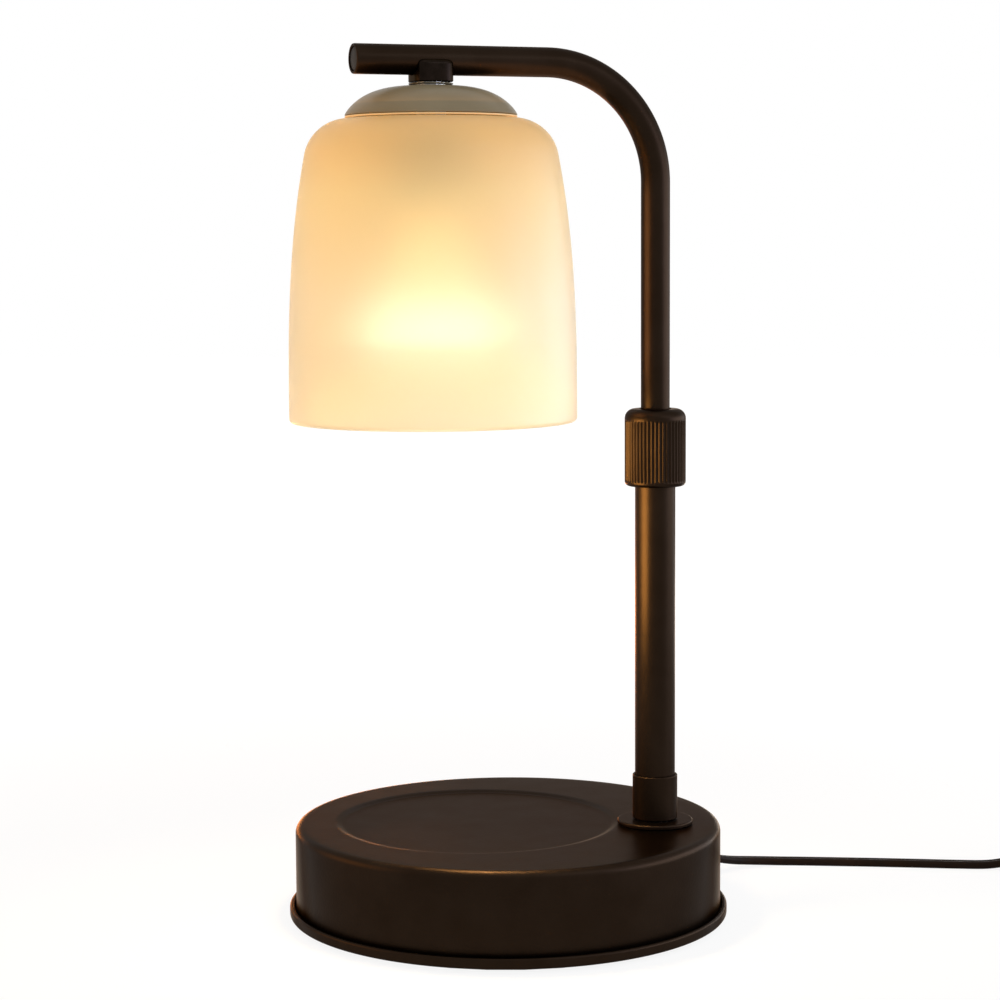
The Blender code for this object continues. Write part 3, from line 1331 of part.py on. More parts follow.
def make_inner_leads(relief_start):
    """Cable inside the lamp: tail to the block, lead to the post, slack coil, lead in the arm."""
    tail = [
        (BLOCK_CENTRE + BLOCK_LENGTH / 2 + SEAT_GAP, 0.0, CABLE_LEVEL),
        (relief_start - SEAT_GAP, 0.0, CABLE_LEVEL),
    ]
    flat_cord("mains_tail", tail, DARK_PVC, CABLE_FRAME)
    block_end = BLOCK_INNER_END * np.array((math.cos(CABLE_ANGLE), math.sin(CABLE_ANGLE), 0.0))
    post = np.array((POST_OFFSET, 0.0, 0.0))
    shares = np.linspace(0.0, 1.0, len(BASE_LEAD_BOW))
    bends = np.array(BASE_LEAD_BOW)
    bow = [tuple(block_end + (post - block_end) * share + bend) for share, bend in zip(shares, bends)]
    up = [(POST_OFFSET, 0.0, BASE_LEAD_BOW[-1][2] + LEAD_POINT_SPACING), (POST_OFFSET, 0.0, LEAD_TOP_OF_BASE)]
    points, _ = smooth_route(bow + up, LEAD_POINT_SPACING)
    round_tube("base_lead", points, LEAD_RADIUS, 2, LEAD_PVC)
    low = LEAD_TOP_OF_BASE + SEAT_GAP
    high = TUBE_END - SEAT_GAP
    straight = 2 * LEAD_RADIUS
    count = round(SLACK_TURNS * SLACK_POINTS_PER_TURN)
    slack = [(0.0, 0.0, low)]
    for k in range(count + 1):
        share = k / count
        reach = SLACK_RADIUS * min(1.0, 4 * share, 4 * (1 - share))
        angle = 2 * math.pi * SLACK_TURNS * share
        height = low + straight + (high - low - 2 * straight) * share
        slack.append((reach * math.cos(angle), reach * math.sin(angle), height))
    slack.append((0.0, 0.0, high))
    round_tube("lead_slack", slack, LEAD_RADIUS, 1, LEAD_PVC, POST_FRAME)
    path = arm_path(TUBE_END, ARM_REACH - LEAD_TURN_RADIUS)
    for k in range(1, 5):
        angle = math.pi / 2 * k / 4
        path.append(
            (
                ARM_REACH - LEAD_TURN_RADIUS * (1 - math.sin(angle)), 0.0,
                ARM_LEVEL - LEAD_TURN_RADIUS * (1 - math.cos(angle)),
            )
        )
    path.append((ARM_REACH, 0.0, HOLDER_TOP + SEAT_GAP))
    round_tube("arm_lead", path, LEAD_RADIUS, 1, LEAD_PVC, ARM_FRAME)


def oblong(half_length, half_width, corner, height, steps=3):
    """A rounded rectangle at a height."""
    corners = [
        (half_length, -half_width, corner), (half_length, half_width, corner),
        (-half_length, half_width, corner), (-half_length, -half_width, corner),
    ]
    return [(x, y, height) for x, y in rounded(corners, steps)]


def dimmer_sections(rows):
    """Sections of a dimmer shell from rows (height, inset)."""
    return [
        oblong(DIMMER_LENGTH / 2 - inset, DIMMER_WIDTH / 2 - inset, DIMMER_ROUND - inset, height)
        for height, inset in rows
    ]


def make_dimmer():
    """Inline dimmer: two shells and their screws, the control inside, the dial on top."""
    split = SEAT_GAP / 2
    low_edge = [(0.0, DIMMER_EDGE * 0.8), (DIMMER_EDGE * 0.25, DIMMER_EDGE * 0.3), (DIMMER_EDGE * 0.8, 0.0)]
    lower = lofted(
        "dimmer_lower", dimmer_sections(low_edge + [(DIMMER_SPLIT - split, 0.0)]),
        material=HOUSING, parent=DIMMER_FRAME,
    )
    high_edge = [
        (DIMMER_HEIGHT - DIMMER_EDGE, 0.0), (DIMMER_HEIGHT - DIMMER_EDGE * 0.3, DIMMER_EDGE * 0.3),
        (DIMMER_HEIGHT, DIMMER_EDGE),
    ]
    upper = lofted(
        "dimmer_upper", dimmer_sections([(DIMMER_SPLIT + split, 0.0)] + high_edge),
        material=HOUSING, parent=DIMMER_FRAME,
    )
    half = DIMMER_CAVITY / 2
    side = DIMMER_WIDTH / 2 - DIMMER_WALL
    roof = DIMMER_HEIGHT - DIAL_SUNK - DIMMER_WALL
    lower_room = block(
        "lower_room", (-half, -side, DIMMER_WALL), (half, side, DIMMER_SPLIT + OVERRUN),
        parent=DIMMER_FRAME, cutter=True,
    )
    boolean(lower, lower_room)
    upper_room = block(
        "upper_room", (-half, -side, DIMMER_SPLIT - OVERRUN), (half, side, roof),
        parent=DIMMER_FRAME, cutter=True,
    )
    boolean(upper, upper_room)
    dial_well = bar(
        "dial_well", DIAL_RADIUS + 2 * RUN_GAP, DIMMER_HEIGHT - DIAL_SUNK, DIMMER_HEIGHT + OVERRUN,
        facets=FACETS_MEDIUM, parent=DIMMER_FRAME, cutter=True,
    )
    boolean(upper, dial_well)
    stem_hole = bar(
        "stem_hole", DIAL_STEM_RADIUS + RUN_GAP, roof - OVERRUN, DIMMER_HEIGHT, parent=DIMMER_FRAME, cutter=True
    )
    boolean(upper, stem_hole)
    places = ((-DIMMER_SCREW_SPACING / 2, 0.0), (DIMMER_SCREW_SPACING / 2, 0.0))
    head_top = DIMMER_SCREW_SINK + DIMMER_SCREW_HEAD_HEIGHT
    screw_holes = bar(
        "dimmer_screw_holes", DIMMER_SCREW_RADIUS + FIT_GAP, -OVERRUN,
        head_top + DIMMER_SCREW_LENGTH + SEAT_GAP, facets=FACETS_TINY, places=places,
        parent=DIMMER_FRAME, cutter=True,
    )
    sinks = bar(
        "dimmer_screw_sinks", DIMMER_SCREW_HEAD_RADIUS + FIT_GAP, -OVERRUN, head_top + SEAT_GAP,
        facets=FACETS_SMALL, places=places, parent=DIMMER_FRAME, cutter=True,
    )
    boolean(lower, screw_holes)
    boolean(lower, sinks)
    boolean(upper, screw_holes)
    for number, (x, y) in enumerate(places, start=1):
        stand = frame_at(f"dimmer_screw_axis_{number}", (x, y, 0.0), parent=DIMMER_FRAME)
        turned(
            f"dimmer_screw_{number}",
            [
                (0.0, head_top + DIMMER_SCREW_LENGTH), (DIMMER_SCREW_RADIUS, head_top + DIMMER_SCREW_LENGTH),
                (DIMMER_SCREW_RADIUS, head_top), (DIMMER_SCREW_HEAD_RADIUS, head_top),
                (DIMMER_SCREW_HEAD_RADIUS, DIMMER_SCREW_SINK), (0.0, DIMMER_SCREW_SINK),
            ],
            FACETS_TINY, ZINC_STEEL, stand, closed=False,
        )
    pot_top = roof - SEAT_GAP
    board_top = pot_top - POT_HEIGHT
    board = block(
        "dimmer_board", (-BOARD_LENGTH / 2, -BOARD_WIDTH / 2, board_top - BOARD_THICKNESS),
        (BOARD_LENGTH / 2, BOARD_WIDTH / 2, board_top), material=BOARD, parent=DIMMER_FRAME,
    )
    pot = block(
        "pot_body", (-POT_SIZE / 2, -POT_SIZE / 2, board_top - BOARD_THICKNESS / 2),
        (POT_SIZE / 2, POT_SIZE / 2, pot_top), parent=DIMMER_FRAME, cutter=True,
    )
    boolean(board, pot, "UNION")
    pot_bore = bar(
        "pot_bore", DIAL_STEM_RADIUS + RUN_GAP, board_top + SEAT_GAP, pot_top + OVERRUN,
        parent=DIMMER_FRAME, cutter=True,
    )
    boolean(board, pot_bore)
    make_dial(board_top + 2 * SEAT_GAP)


def make_dial(stem_bottom):
    """Ribbed dial with a pointer groove, and the stem that turns the control."""
    bottom = DIMMER_HEIGHT - DIAL_SUNK + SEAT_GAP
    top = bottom + DIAL_HEIGHT
    rib_bottom = DIMMER_HEIGHT + RUN_GAP
    rows = [
        (bottom, DIAL_RADIUS, 0.0), (rib_bottom, DIAL_RADIUS, 0.0),
        (rib_bottom + DIAL_EDGE / 2, DIAL_RADIUS, 1.0), (top - DIAL_EDGE, DIAL_RADIUS, 1.0),
        (top - DIAL_EDGE * 0.3, DIAL_RADIUS - DIAL_EDGE * 0.5, 0.0),
        (top, DIAL_RADIUS - DIAL_EDGE * 1.4, 0.0),
    ]
    dial = lofted(
        "dimmer_dial", drum_sections(rows, DIAL_RIB_COUNT, DIAL_RIB_DEPTH),
        material=HOUSING, parent=DIMMER_FRAME,
    )
    stem = bar(
        "dial_stem", DIAL_STEM_RADIUS, stem_bottom, bottom + DIAL_EDGE, parent=DIMMER_FRAME, cutter=True
    )
    boolean(dial, stem, "UNION")
    reach = DIAL_RADIUS - 2 * DIAL_EDGE
    mark = block(
        "dial_mark", (-DIAL_MARK_WIDTH / 2, reach - DIAL_MARK_LENGTH, top - DIAL_MARK_DEPTH),
        (DIAL_MARK_WIDTH / 2, reach, top + OVERRUN), parent=DIMMER_FRAME, cutter=True,
    )
    boolean(dial, mark)


def coil_points():
    """Centreline of the coil: in on the lower layer, a climb as it reverses, out on the upper."""
    turns = COIL_TURNS_PER_LAYER
    count = 2 * turns * COIL_POINTS_PER_TURN
    points = []
    for k in range(count + 1):
        turn = -turns + 2 * turns * k / count
        dip = COIL_DIP * (1 + math.cos(2 * math.pi * turn)) / 2 if abs(turn) < 0.5 else 0.0
        radius = COIL_INNER_RADIUS + COIL_PITCH * math.hypot(turn, COIL_SOFT_TURNS) - dip
        climb = min(1.0, max(0.0, (turn + COIL_CLIMB_TURNS) / (2 * COIL_CLIMB_TURNS)))
        rise = COIL_LAYER_RISE * climb**2 * (3 - 2 * climb)
        angle = -2 * math.pi * turn
        points.append((radius * math.cos(angle), radius * math.sin(angle), COIL_LIE + rise))
    first, last = points[0], points[-1]
    return [(first[0], CORD_WIDTH, first[2]), *points, (last[0], -CORD_WIDTH, last[2])]


def least_gap(points):
    """Least gap between a coil's turns, on points of its section at every station."""
    section = cord_outline()
    line = np.array(points)
    level = np.diff(line, axis=0, append=2 * line[-1:] - line[-2:-1])
    side = np.stack([level[:, 1], -level[:, 0], np.zeros(len(line))], axis=1)
    side /= np.linalg.norm(side, axis=1)[:, None]
    surface = []
    for first, second in zip(section, section[1:] + section[:1]):
        for share in (0.0, 0.5):
            x = first[0] + (second[0] - first[0]) * share
            y = first[1] + (second[1] - first[1]) * share
            surface.append(line + side * x + np.array((0.0, 0.0, y)))
    surface = np.stack(surface, axis=1)
    apart = COIL_POINTS_PER_TURN // 2
    least = math.inf
    for i in range(len(line) - apart):
        others = surface[i + apart:].reshape(-1, 3)
        for point in surface[i]:
            least = min(least, float(np.linalg.norm(others - point, axis=1).min()))
    return least


def make_coil_and_tie():
    """The coil as one unbroken cord, and the band that holds its turns."""
    points = coil_points()
    print(f"least gap between the coil's turns: {least_gap(points) * 1000:.2f} mm")
    length = float(np.linalg.norm(np.diff(np.array(points), axis=0), axis=1).sum())
    print(f"cord in the coil: {length:.3f} m")
    flat_cord("cord_coil", points, DARK_PVC, COIL_FRAME)
    half = CORD_WIDTH / 2 + SEAT_GAP
    near = COIL_INNER_RADIUS + COIL_PITCH / 2 - half - TIE_SLACK
    far = COIL_INNER_RADIUS + COIL_PITCH * (COIL_TURNS_PER_LAYER - 0.5) + half
    low = TIE_THICKNESS
    high = COIL_LIE + COIL_LAYER_RISE + CORD_THICKNESS / 2 + SEAT_GAP
    corner = CORD_THICKNESS / 2
    rings = []
    for grow in (0.0, TIE_THICKNESS):
        rings.append(
            rounded(
                [
                    (near - grow, low - grow, corner + grow), (far + grow, low - grow, corner + grow),
                    (far + grow, high + grow, corner + grow), (near - grow, high + grow, corner + grow),
                ],
                steps=3,
            )
        )
    curve = bpy.data.curves.new("cord_tie", "CURVE")
    curve.dimensions = "2D"
    curve.fill_mode = "BOTH"
    curve.extrude = TIE_WIDTH / 2
    for ring in rings:
        spline = curve.splines.new("POLY")
        spline.points.add(len(ring) - 1)
        for point, (x, y) in zip(spline.points, ring):
            point.co = (x, y, 0.0, 1.0)
        spline.use_cyclic_u = True
    tie = add_object("cord_tie", curve, DARK_PVC, COIL_FRAME)
    tie.rotation_euler = (math.pi / 2, 0.0, math.pi)
    bpy.context.view_layer.update()
    mesh_of_curve(tie)


def make_free_cord():
    """The flat cord's free stretches: lamp to dimmer, dimmer to coil, coil to plug."""
    total = 0.0
    for name, route in (
        ("lamp_cord", LAMP_CORD_ROUTE), ("coil_lead", COIL_LEAD_ROUTE), ("plug_lead", PLUG_LEAD_ROUTE),
    ):
        points, length = smooth_route(route, CORD_POINT_SPACING)
        flat_cord(name, points, DARK_PVC, CORD_FRAME)
        total += length
    print(f"cord in the free stretches: {total:.3f} m")


def plug_section(along, half_width, half_height, corner_share=0.55):
    """A rounded section of the plug at a distance from its cord end."""
    corner = min(half_width, half_height) * corner_share * 1.6
    corners = [
        (half_width, -half_height, corner), (half_width, half_height, corner),
        (-half_width, half_height, corner), (-half_width, -half_height, corner),
    ]
    return [(along, x, PLUG_LEVEL + y) for x, y in rounded(corners, 2)]


def make_plug():
    """Moulded plug body with a grooved tail, and two flat blades."""
    tail = PLUG_BODY_LENGTH * PLUG_TAIL_SHARE
    rows_as_shares = [
        (0.00, 0.00), (0.22, 0.02), (0.25, 0.08), (0.29, 0.08), (0.32, 0.20),
        (0.45, 0.55), (0.62, 0.72), (0.80, 0.92), (0.93, 1.00), (0.985, 0.98), (1.00, 0.90),
    ]
    sections = []
    for along, growth in rows_as_shares:
        sections.append(
            plug_section(
                PLUG_BODY_LENGTH * along,
                PLUG_TAIL_HALF_WIDTH + (PLUG_HALF_WIDTH - PLUG_TAIL_HALF_WIDTH) * growth,
                PLUG_TAIL_HALF_HEIGHT + (PLUG_HALF_HEIGHT - PLUG_TAIL_HALF_HEIGHT) * growth,
            )
        )
    lofted("plug_body", sections, material=HOUSING, parent=PLUG_FRAME)
    start = PLUG_BODY_LENGTH + SEAT_GAP
    low = PLUG_LEVEL - BLADE_WIDTH / 2
    high = PLUG_LEVEL + BLADE_WIDTH / 2
    for number, side in ((1, -1), (2, 1)):
        y = side * BLADE_SPACING / 2
        outline = rounded(
            [
                (start, low, 0), (start + BLADE_LENGTH, low, BLADE_CORNER),
                (start + BLADE_LENGTH, high, BLADE_CORNER), (start, high, 0),
            ],
            steps=2,
        )
        sections = [[(x, y + t, z) for x, z in outline] for t in (-BLADE_THICKNESS / 2, BLADE_THICKNESS / 2)]
        blade = lofted(f"plug_blade_{number}", sections, material=BRASS, parent=PLUG_FRAME)
        hole_place = frame_at(
            f"blade_hole_axis_{number}", (start + BLADE_LENGTH - BLADE_HOLE_INSET, y, PLUG_LEVEL),
            parent=PLUG_FRAME,
        )
        hole_place.rotation_euler = (math.pi / 2, 0.0, 0.0)
        hole = bar(
            f"blade_hole_{number}", BLADE_HOLE_RADIUS, -BLADE_THICKNESS / 2 - OVERRUN,
            BLADE_THICKNESS / 2 + OVERRUN, facets=FACETS_TINY, parent=hole_place, cutter=True,
        )
        boolean(blade, hole)
    return tail


def build():
    """Make every piece, then settle the meshes."""
    bpy.context.view_layer.update()
    make_base_shell()
    make_base_plate()
    make_foot_pad()
    make_counterweight()
    make_pillars_and_screws()
    make_post_fixing()
    make_ferrule_and_lower_tube()
    make_collet()
    make_lock_collar()
    make_upper_tube()
    make_guide_bush()
    make_neck()
    make_dome()
    make_shade()
    make_lamp_holder()
    make_bulb()
    relief_start = make_strain_relief()
    make_terminal_block()
    make_inner_leads(relief_start)
    make_dimmer()
    make_coil_and_tie()
    make_free_cord()
    make_plug()
    bpy.context.view_layer.update()
    for obj in list(PARTS.objects):
        if obj.type == "MESH":
            settle(obj)


build()
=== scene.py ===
from math import acos, atan, atan2, cos, hypot, pi, radians, sin, tan, tau

import bmesh
import bpy
import numpy as np
from mathutils import Matrix, Vector


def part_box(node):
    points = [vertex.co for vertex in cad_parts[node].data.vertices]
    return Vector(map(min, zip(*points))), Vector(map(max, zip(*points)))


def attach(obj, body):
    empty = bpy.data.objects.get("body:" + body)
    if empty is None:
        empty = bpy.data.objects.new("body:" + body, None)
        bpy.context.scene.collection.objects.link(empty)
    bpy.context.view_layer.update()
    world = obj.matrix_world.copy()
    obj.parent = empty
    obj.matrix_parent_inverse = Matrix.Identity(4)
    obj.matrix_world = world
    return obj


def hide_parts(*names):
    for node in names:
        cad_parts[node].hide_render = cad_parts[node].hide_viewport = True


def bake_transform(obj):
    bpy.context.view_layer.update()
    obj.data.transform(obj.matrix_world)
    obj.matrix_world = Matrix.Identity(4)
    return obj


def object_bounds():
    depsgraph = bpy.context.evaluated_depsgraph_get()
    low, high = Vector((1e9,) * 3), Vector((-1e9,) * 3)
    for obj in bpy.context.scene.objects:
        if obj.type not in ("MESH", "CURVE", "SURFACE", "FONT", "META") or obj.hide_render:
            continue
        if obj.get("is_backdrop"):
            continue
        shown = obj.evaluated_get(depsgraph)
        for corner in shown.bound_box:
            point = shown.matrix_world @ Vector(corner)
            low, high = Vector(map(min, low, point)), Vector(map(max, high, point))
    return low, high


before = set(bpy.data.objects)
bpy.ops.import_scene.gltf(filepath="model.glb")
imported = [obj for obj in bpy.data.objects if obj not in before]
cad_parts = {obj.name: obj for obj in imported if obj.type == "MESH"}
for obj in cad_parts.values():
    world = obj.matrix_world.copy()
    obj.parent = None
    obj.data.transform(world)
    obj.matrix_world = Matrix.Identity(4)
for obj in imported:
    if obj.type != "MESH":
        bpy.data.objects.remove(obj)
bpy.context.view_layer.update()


# The camera: a portrait lens about 0.9 m in front of the lamp and a little to its right, at
# the shade's height, turned and dipped so that it looks at the lamp's middle.
CAMERA_PLACE = (0.0923, -0.8993, 0.2414)
CAMERA_TURN = radians(6)
CAMERA_DIP = radians(5.92)
CAMERA_ROLL = radians(-0.30)
CAMERA_LENS = 93.6


def linked(name, data):
    """A new object in the scene."""
    made = bpy.data.objects.new(name, data)
    bpy.context.scene.collection.objects.link(made)
    return made


camera_data = bpy.data.cameras.new("camera")
camera_data.lens = CAMERA_LENS
camera_data.sensor_width = 36
camera_data.clip_start = 0.01
camera_data.clip_end = 20
camera = linked("camera", camera_data)
camera.matrix_world = (
    Matrix.Translation(CAMERA_PLACE)
    @ Matrix.Rotation(CAMERA_TURN, 4, "Z")
    @ Matrix.Rotation(pi / 2 - CAMERA_DIP, 4, "X")
    @ Matrix.Rotation(CAMERA_ROLL, 4, "Z")
)
bpy.context.scene.camera = camera


# The mains cord: flat twin flex, two stranded cores side by side in soft PVC with a groove
# between them. It is extruded, so the surface is even and satin, with faint draw lines.
CORD_HALF_WIDTH = 0.00265
CORD_CORE_RADIUS = 0.0014
CORD_GROOVE = 0.00035
CORD_ARC_STEP = radians(20)
CORD_SPACING = 0.002
LAMP_CORD_ROUTE = [
    (0.0714, 0.0643, 0.0058), (0.0751, 0.0677, 0.0045), (0.0793, 0.0713, 0.0034),
    (0.0842, 0.0746, 0.0026), (0.0900, 0.0772, 0.0020), (0.0970, 0.0789, 0.0016),
    (0.1050, 0.0796, 0.0015), (0.1280, 0.0799, 0.0015), (0.1460, 0.0798, 0.0015),
    (0.1620, 0.0796, 0.0015), (0.1740, 0.0795, 0.0017), (0.1820, 0.0795, 0.0030),
    (0.1875, 0.0795, 0.0045), (0.1904, 0.0795, 0.0050), (0.1957, 0.0795, 0.0050),
]
COIL_LEAD_ROUTE = [
    (0.2583, 0.0795, 0.0050), (0.2636, 0.0795, 0.0049), (0.2695, 0.0783, 0.0038),
    (0.2760, 0.0750, 0.0027), (0.2814, 0.0702, 0.0023), (0.2854, 0.0640, 0.0022),
    (0.2874, 0.0565, 0.0022), (0.2880, 0.0480, 0.0022), (0.2880, 0.0400, 0.0022),
    (0.2880, 0.0329, 0.0022), (0.2880, 0.0276, 0.0022),
]
PLUG_LEAD_ROUTE = [
    (0.2880, 0.0164, 0.0056), (0.2880, 0.0111, 0.0056), (0.2880, 0.0050, 0.0055),
    (0.2880, -0.0020, 0.0057), (0.2880, -0.0100, 0.0065), (0.2880, -0.0167, 0.0070),
    (0.2880, -0.0220, 0.0070),
]
COIL_MIDDLE = Vector((0.2466, 0.0220, 0.0))
COIL_INNER_RADIUS = 0.0240
COIL_PITCH = 0.0058
COIL_TURNS_PER_LAYER = 3
COIL_LIE = 0.0022
COIL_LAYER_RISE = 0.0034
COIL_DIP = 0.0019
COIL_CLIMB_TURNS = 0.18
COIL_SOFT_TURNS = 0.06
COIL_STEPS_PER_TURN = 48


def linear(code):
    """A six-digit sRGB hex colour as linear RGBA."""
    parts = [int(code[k:k + 2], 16) / 255 for k in (1, 3, 5)]
    return (*[c / 12.92 if c <= 0.04045 else ((c + 0.055) / 1.055) ** 2.4 for c in parts], 1.0)


def smooth_route(route):
    """Points along a smooth curve through the route's own; its first and last legs stay straight."""
    points = np.array(route, float)
    fine = []
    for a, b, c, d in zip(points, points[1:], points[2:], points[3:]):
        for t in np.linspace(0.0, 1.0, 12, endpoint=False):
            fine.append(
                0.5 * (2 * b + (c - a) * t + (2 * a - 5 * b + 4 * c - d) * t**2
                       + (3 * b - a - 3 * c + d) * t**3)
            )
    fine = np.array([points[0], *fine, points[-2], points[-1]])
    along = np.concatenate([[0.0], np.cumsum(np.linalg.norm(np.diff(fine, axis=0), axis=1))])
    at = np.linspace(0.0, along[-1], round(along[-1] / CORD_SPACING) + 1)
    return np.stack([np.interp(at, along, fine[:, k]) for k in range(3)], axis=1)


def coil_line():
    """In on the lower layer, a climb as it reverses, and out on the upper one."""
    turns = COIL_TURNS_PER_LAYER
    points = []
    for k in range(2 * turns * COIL_STEPS_PER_TURN + 1):
        turn = -turns + k / COIL_STEPS_PER_TURN
        dip = COIL_DIP * (1 + cos(tau * turn)) / 2 if abs(turn) < 0.5 else 0.0
        radius = COIL_INNER_RADIUS + COIL_PITCH * hypot(turn, COIL_SOFT_TURNS) - dip
        climb = min(1.0, max(0.0, (turn + COIL_CLIMB_TURNS) / (2 * COIL_CLIMB_TURNS)))
        rise = COIL_LAYER_RISE * climb**2 * (3 - 2 * climb)
        angle = -tau * turn
        spot = Vector((radius * cos(angle), radius * sin(angle), COIL_LIE + rise))
        points.append(COIL_MIDDLE + spot)
    return np.array(points)


def settle(work, mesh, sharp=35):
    """The finished faces on their mesh, facing outward, smooth but for the sharp edges."""
    bmesh.ops.recalc_face_normals(work, faces=work.faces)
    work.to_mesh(mesh)
    work.free()
    mesh.shade_smooth()
    mesh.set_sharp_from_angle(angle=radians(sharp))
    return mesh


def skin(rings, loop=False, caps=False, sharp=35):
    """A mesh over rings that all have the same number of points."""
    rings = np.array(rings, float)
    count, around = rings.shape[:2]
    faces = []
    for i in range(count if loop else count - 1):
        for k in range(around):
            a, b = i * around + k, i * around + (k + 1) % around
            c = (i + 1) % count * around
            faces.append((a, b, c + (k + 1) % around, c + k))
    if caps:
        faces.append(tuple(range(around)))
        faces.append(tuple(range((count - 1) * around, count * around)))
    mesh = bpy.data.meshes.new("skin")
    mesh.from_pydata(rings.reshape(-1, 3).tolist(), [], faces)
    work = bmesh.new()
    work.from_mesh(mesh)
    bmesh.ops.remove_doubles(work, verts=work.verts, dist=1e-6)
    bmesh.ops.dissolve_degenerate(work, edges=work.edges, dist=1e-7)
    return settle(work, mesh, sharp)


def ways(line):
    """The unit directions along a line."""
    ahead = np.gradient(line, axis=0)
    return ahead / np.linalg.norm(ahead, axis=1)[:, None]


def carried(line, ahead, across, section):
    """Rings of a section (across, up) carried along a line, with its across made square to it."""
    across = across - ahead * np.sum(across * ahead, axis=1)[:, None]
    across /= np.linalg.norm(across, axis=1)[:, None]
    rings = []
    for point, side, rise in zip(line, across, np.cross(across, ahead)):
        rings.append(point + np.outer(section[:, 0], side) + np.outer(section[:, 1], rise))
    return rings


def swept(line, section):
    """A mesh of a section carried along a line with its across kept level."""
    ahead = ways(line)
    return skin(carried(line, ahead, np.cross(ahead, (0.0, 0.0, 1.0)), section), caps=True)


def add_piece(name, mesh, material, body, replaced=(), place=(0.0, 0.0, 0.0), turn=0.0):
    """A piece in its place, riding on a body and standing for CAD nodes."""
    mesh.name = name
    mesh.materials.append(material)
    made = linked(name, mesh)
    made.location = place
    made.rotation_euler = (0.0, 0.0, turn)
    if body:
        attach(made, body)
    if replaced:
        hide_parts(*replaced)
    return made


def surface(name, base, roughness, metallic=0.0, **sockets):
    """A Principled material with constants on its sockets, named with _ for spaces."""
    made = bpy.data.materials.new(name)
    made.use_nodes = True
    shader = made.node_tree.nodes["Principled BSDF"]
    shader.inputs["Base Color"].default_value = linear(base)
    shader.inputs["Roughness"].default_value = roughness
    shader.inputs["Metallic"].default_value = metallic
    for socket, value in sockets.items():
        shader.inputs[socket.replace("_", " ")].default_value = value
    return made


def add(material, kind, values=(), links=(), **settings):
    """Add a shader node with its settings, the values on its inputs, and its links."""
    tree = material.node_tree
    made = tree.nodes.new("ShaderNode" + kind)
    for setting, value in settings.items():
        setattr(made, setting, value)
    for socket, value in dict(values).items():
        made.inputs[socket].default_value = value
    for socket, source in dict(links).items():
        tree.links.new(source, made.inputs[socket])
    return made


def feed(material, socket, source):
    """Link an output to the material's shader."""
    material.node_tree.links.new(source, material.node_tree.nodes["Principled BSDF"].inputs[socket])


def grain(material, size, depth, stretch=(1.0, 1.0, 1.0), detail=3.0, strength=0.8):
    """A fine relief whose grains are size wide and depth deep, in metres."""
    place = add(material, "TexCoord")
    scaled = add(material, "Mapping", {"Scale": stretch}, {"Vector": place.outputs["Object"]})
    noise = add(
        material, "TexNoise", {"Scale": 1 / size, "Detail": detail}, {"Vector": scaled.outputs["Vector"]},
    )
    relief = add(
        material, "Bump", {"Strength": strength, "Distance": depth}, {"Height": noise.outputs["Fac"]},
    )
    feed(material, "Normal", relief.outputs["Normal"])


def set_stops(ramp, stops):
    """Put stops (share, hex) on a colour ramp, which starts with two of its own."""
    for element, (share, code) in zip(ramp.elements, (stops[0], stops[-1])):
        element.position = share
        element.color = linear(code)
    for share, code in stops[1:-1]:
        ramp.elements.new(share).color = linear(code)


def mottled(name, size, dark, light, smooth, rough, metallic=0.0, **sockets):
    """A material whose colour and roughness drift softly over patches of that size, in metres."""
    made = surface(name, dark, smooth, metallic, **sockets)
    place = add(made, "TexCoord")
    noise = add(made, "TexNoise", {"Scale": 1 / size, "Detail": 4.0}, {"Vector": place.outputs["Object"]})
    tint = add(made, "ValToRGB", links={"Fac": noise.outputs["Fac"]})
    set_stops(tint.color_ramp, ((0.3, dark), (0.7, light)))
    feed(made, "Base Color", tint.outputs["Color"])
    sheen = add(
        made, "MapRange", {"From Min": 0.3, "From Max": 0.7, "To Min": smooth, "To Max": rough},
        {"Value": noise.outputs["Fac"]},
    )
    feed(made, "Roughness", sheen.outputs["Result"])
    return made


# Soft PVC, extruded: matt to satin, a little darker where the die rubbed it, with draw
# lines too fine to show, so they are drawn as grains a third of a millimetre wide.
soft_pvc = mottled(
    "soft_pvc_extruded", 0.012, "#18100A", "#20150D", 0.46, 0.58, IOR=1.53, Specular_IOR_Level=0.04,
)
grain(soft_pvc, 0.0003, 0.00002)

cord_section = []
core_middle = CORD_HALF_WIDTH - CORD_CORE_RADIUS
for side in (1, -1):
    for step in range(-6, 7):
        across = core_middle + CORD_CORE_RADIUS * cos(CORD_ARC_STEP * step)
        cord_section.append((side * across, side * CORD_CORE_RADIUS * sin(CORD_ARC_STEP * step)))
    cord_section.append((0.0, side * (CORD_CORE_RADIUS - CORD_GROOVE)))
cord_section = np.array(cord_section)

lamp_line = smooth_route(LAMP_CORD_ROUTE)
lamp_cord = add_piece(
    "cord_lamp_to_dimmer", swept(lamp_line, cord_section), soft_pvc, "base", ["lamp_cord"],
)
put_away_line = np.vstack([smooth_route(COIL_LEAD_ROUTE), coil_line(), smooth_route(PLUG_LEAD_ROUTE)])
put_away_cord = add_piece(
    "cord_dimmer_to_plug", swept(put_away_line, cord_section), soft_pvc, "base",
    ["coil_lead", "cord_coil", "plug_lead"],
)


# The cord tie: a flat band of the cord's own soft PVC, folded once round the put-away turns
# and pressed shut. Its two long edges are slightly rounded.
TIE_HALF_WIDTH = 0.0040
TIE_THICKNESS = 0.0005
TIE_CORNER = 0.0019


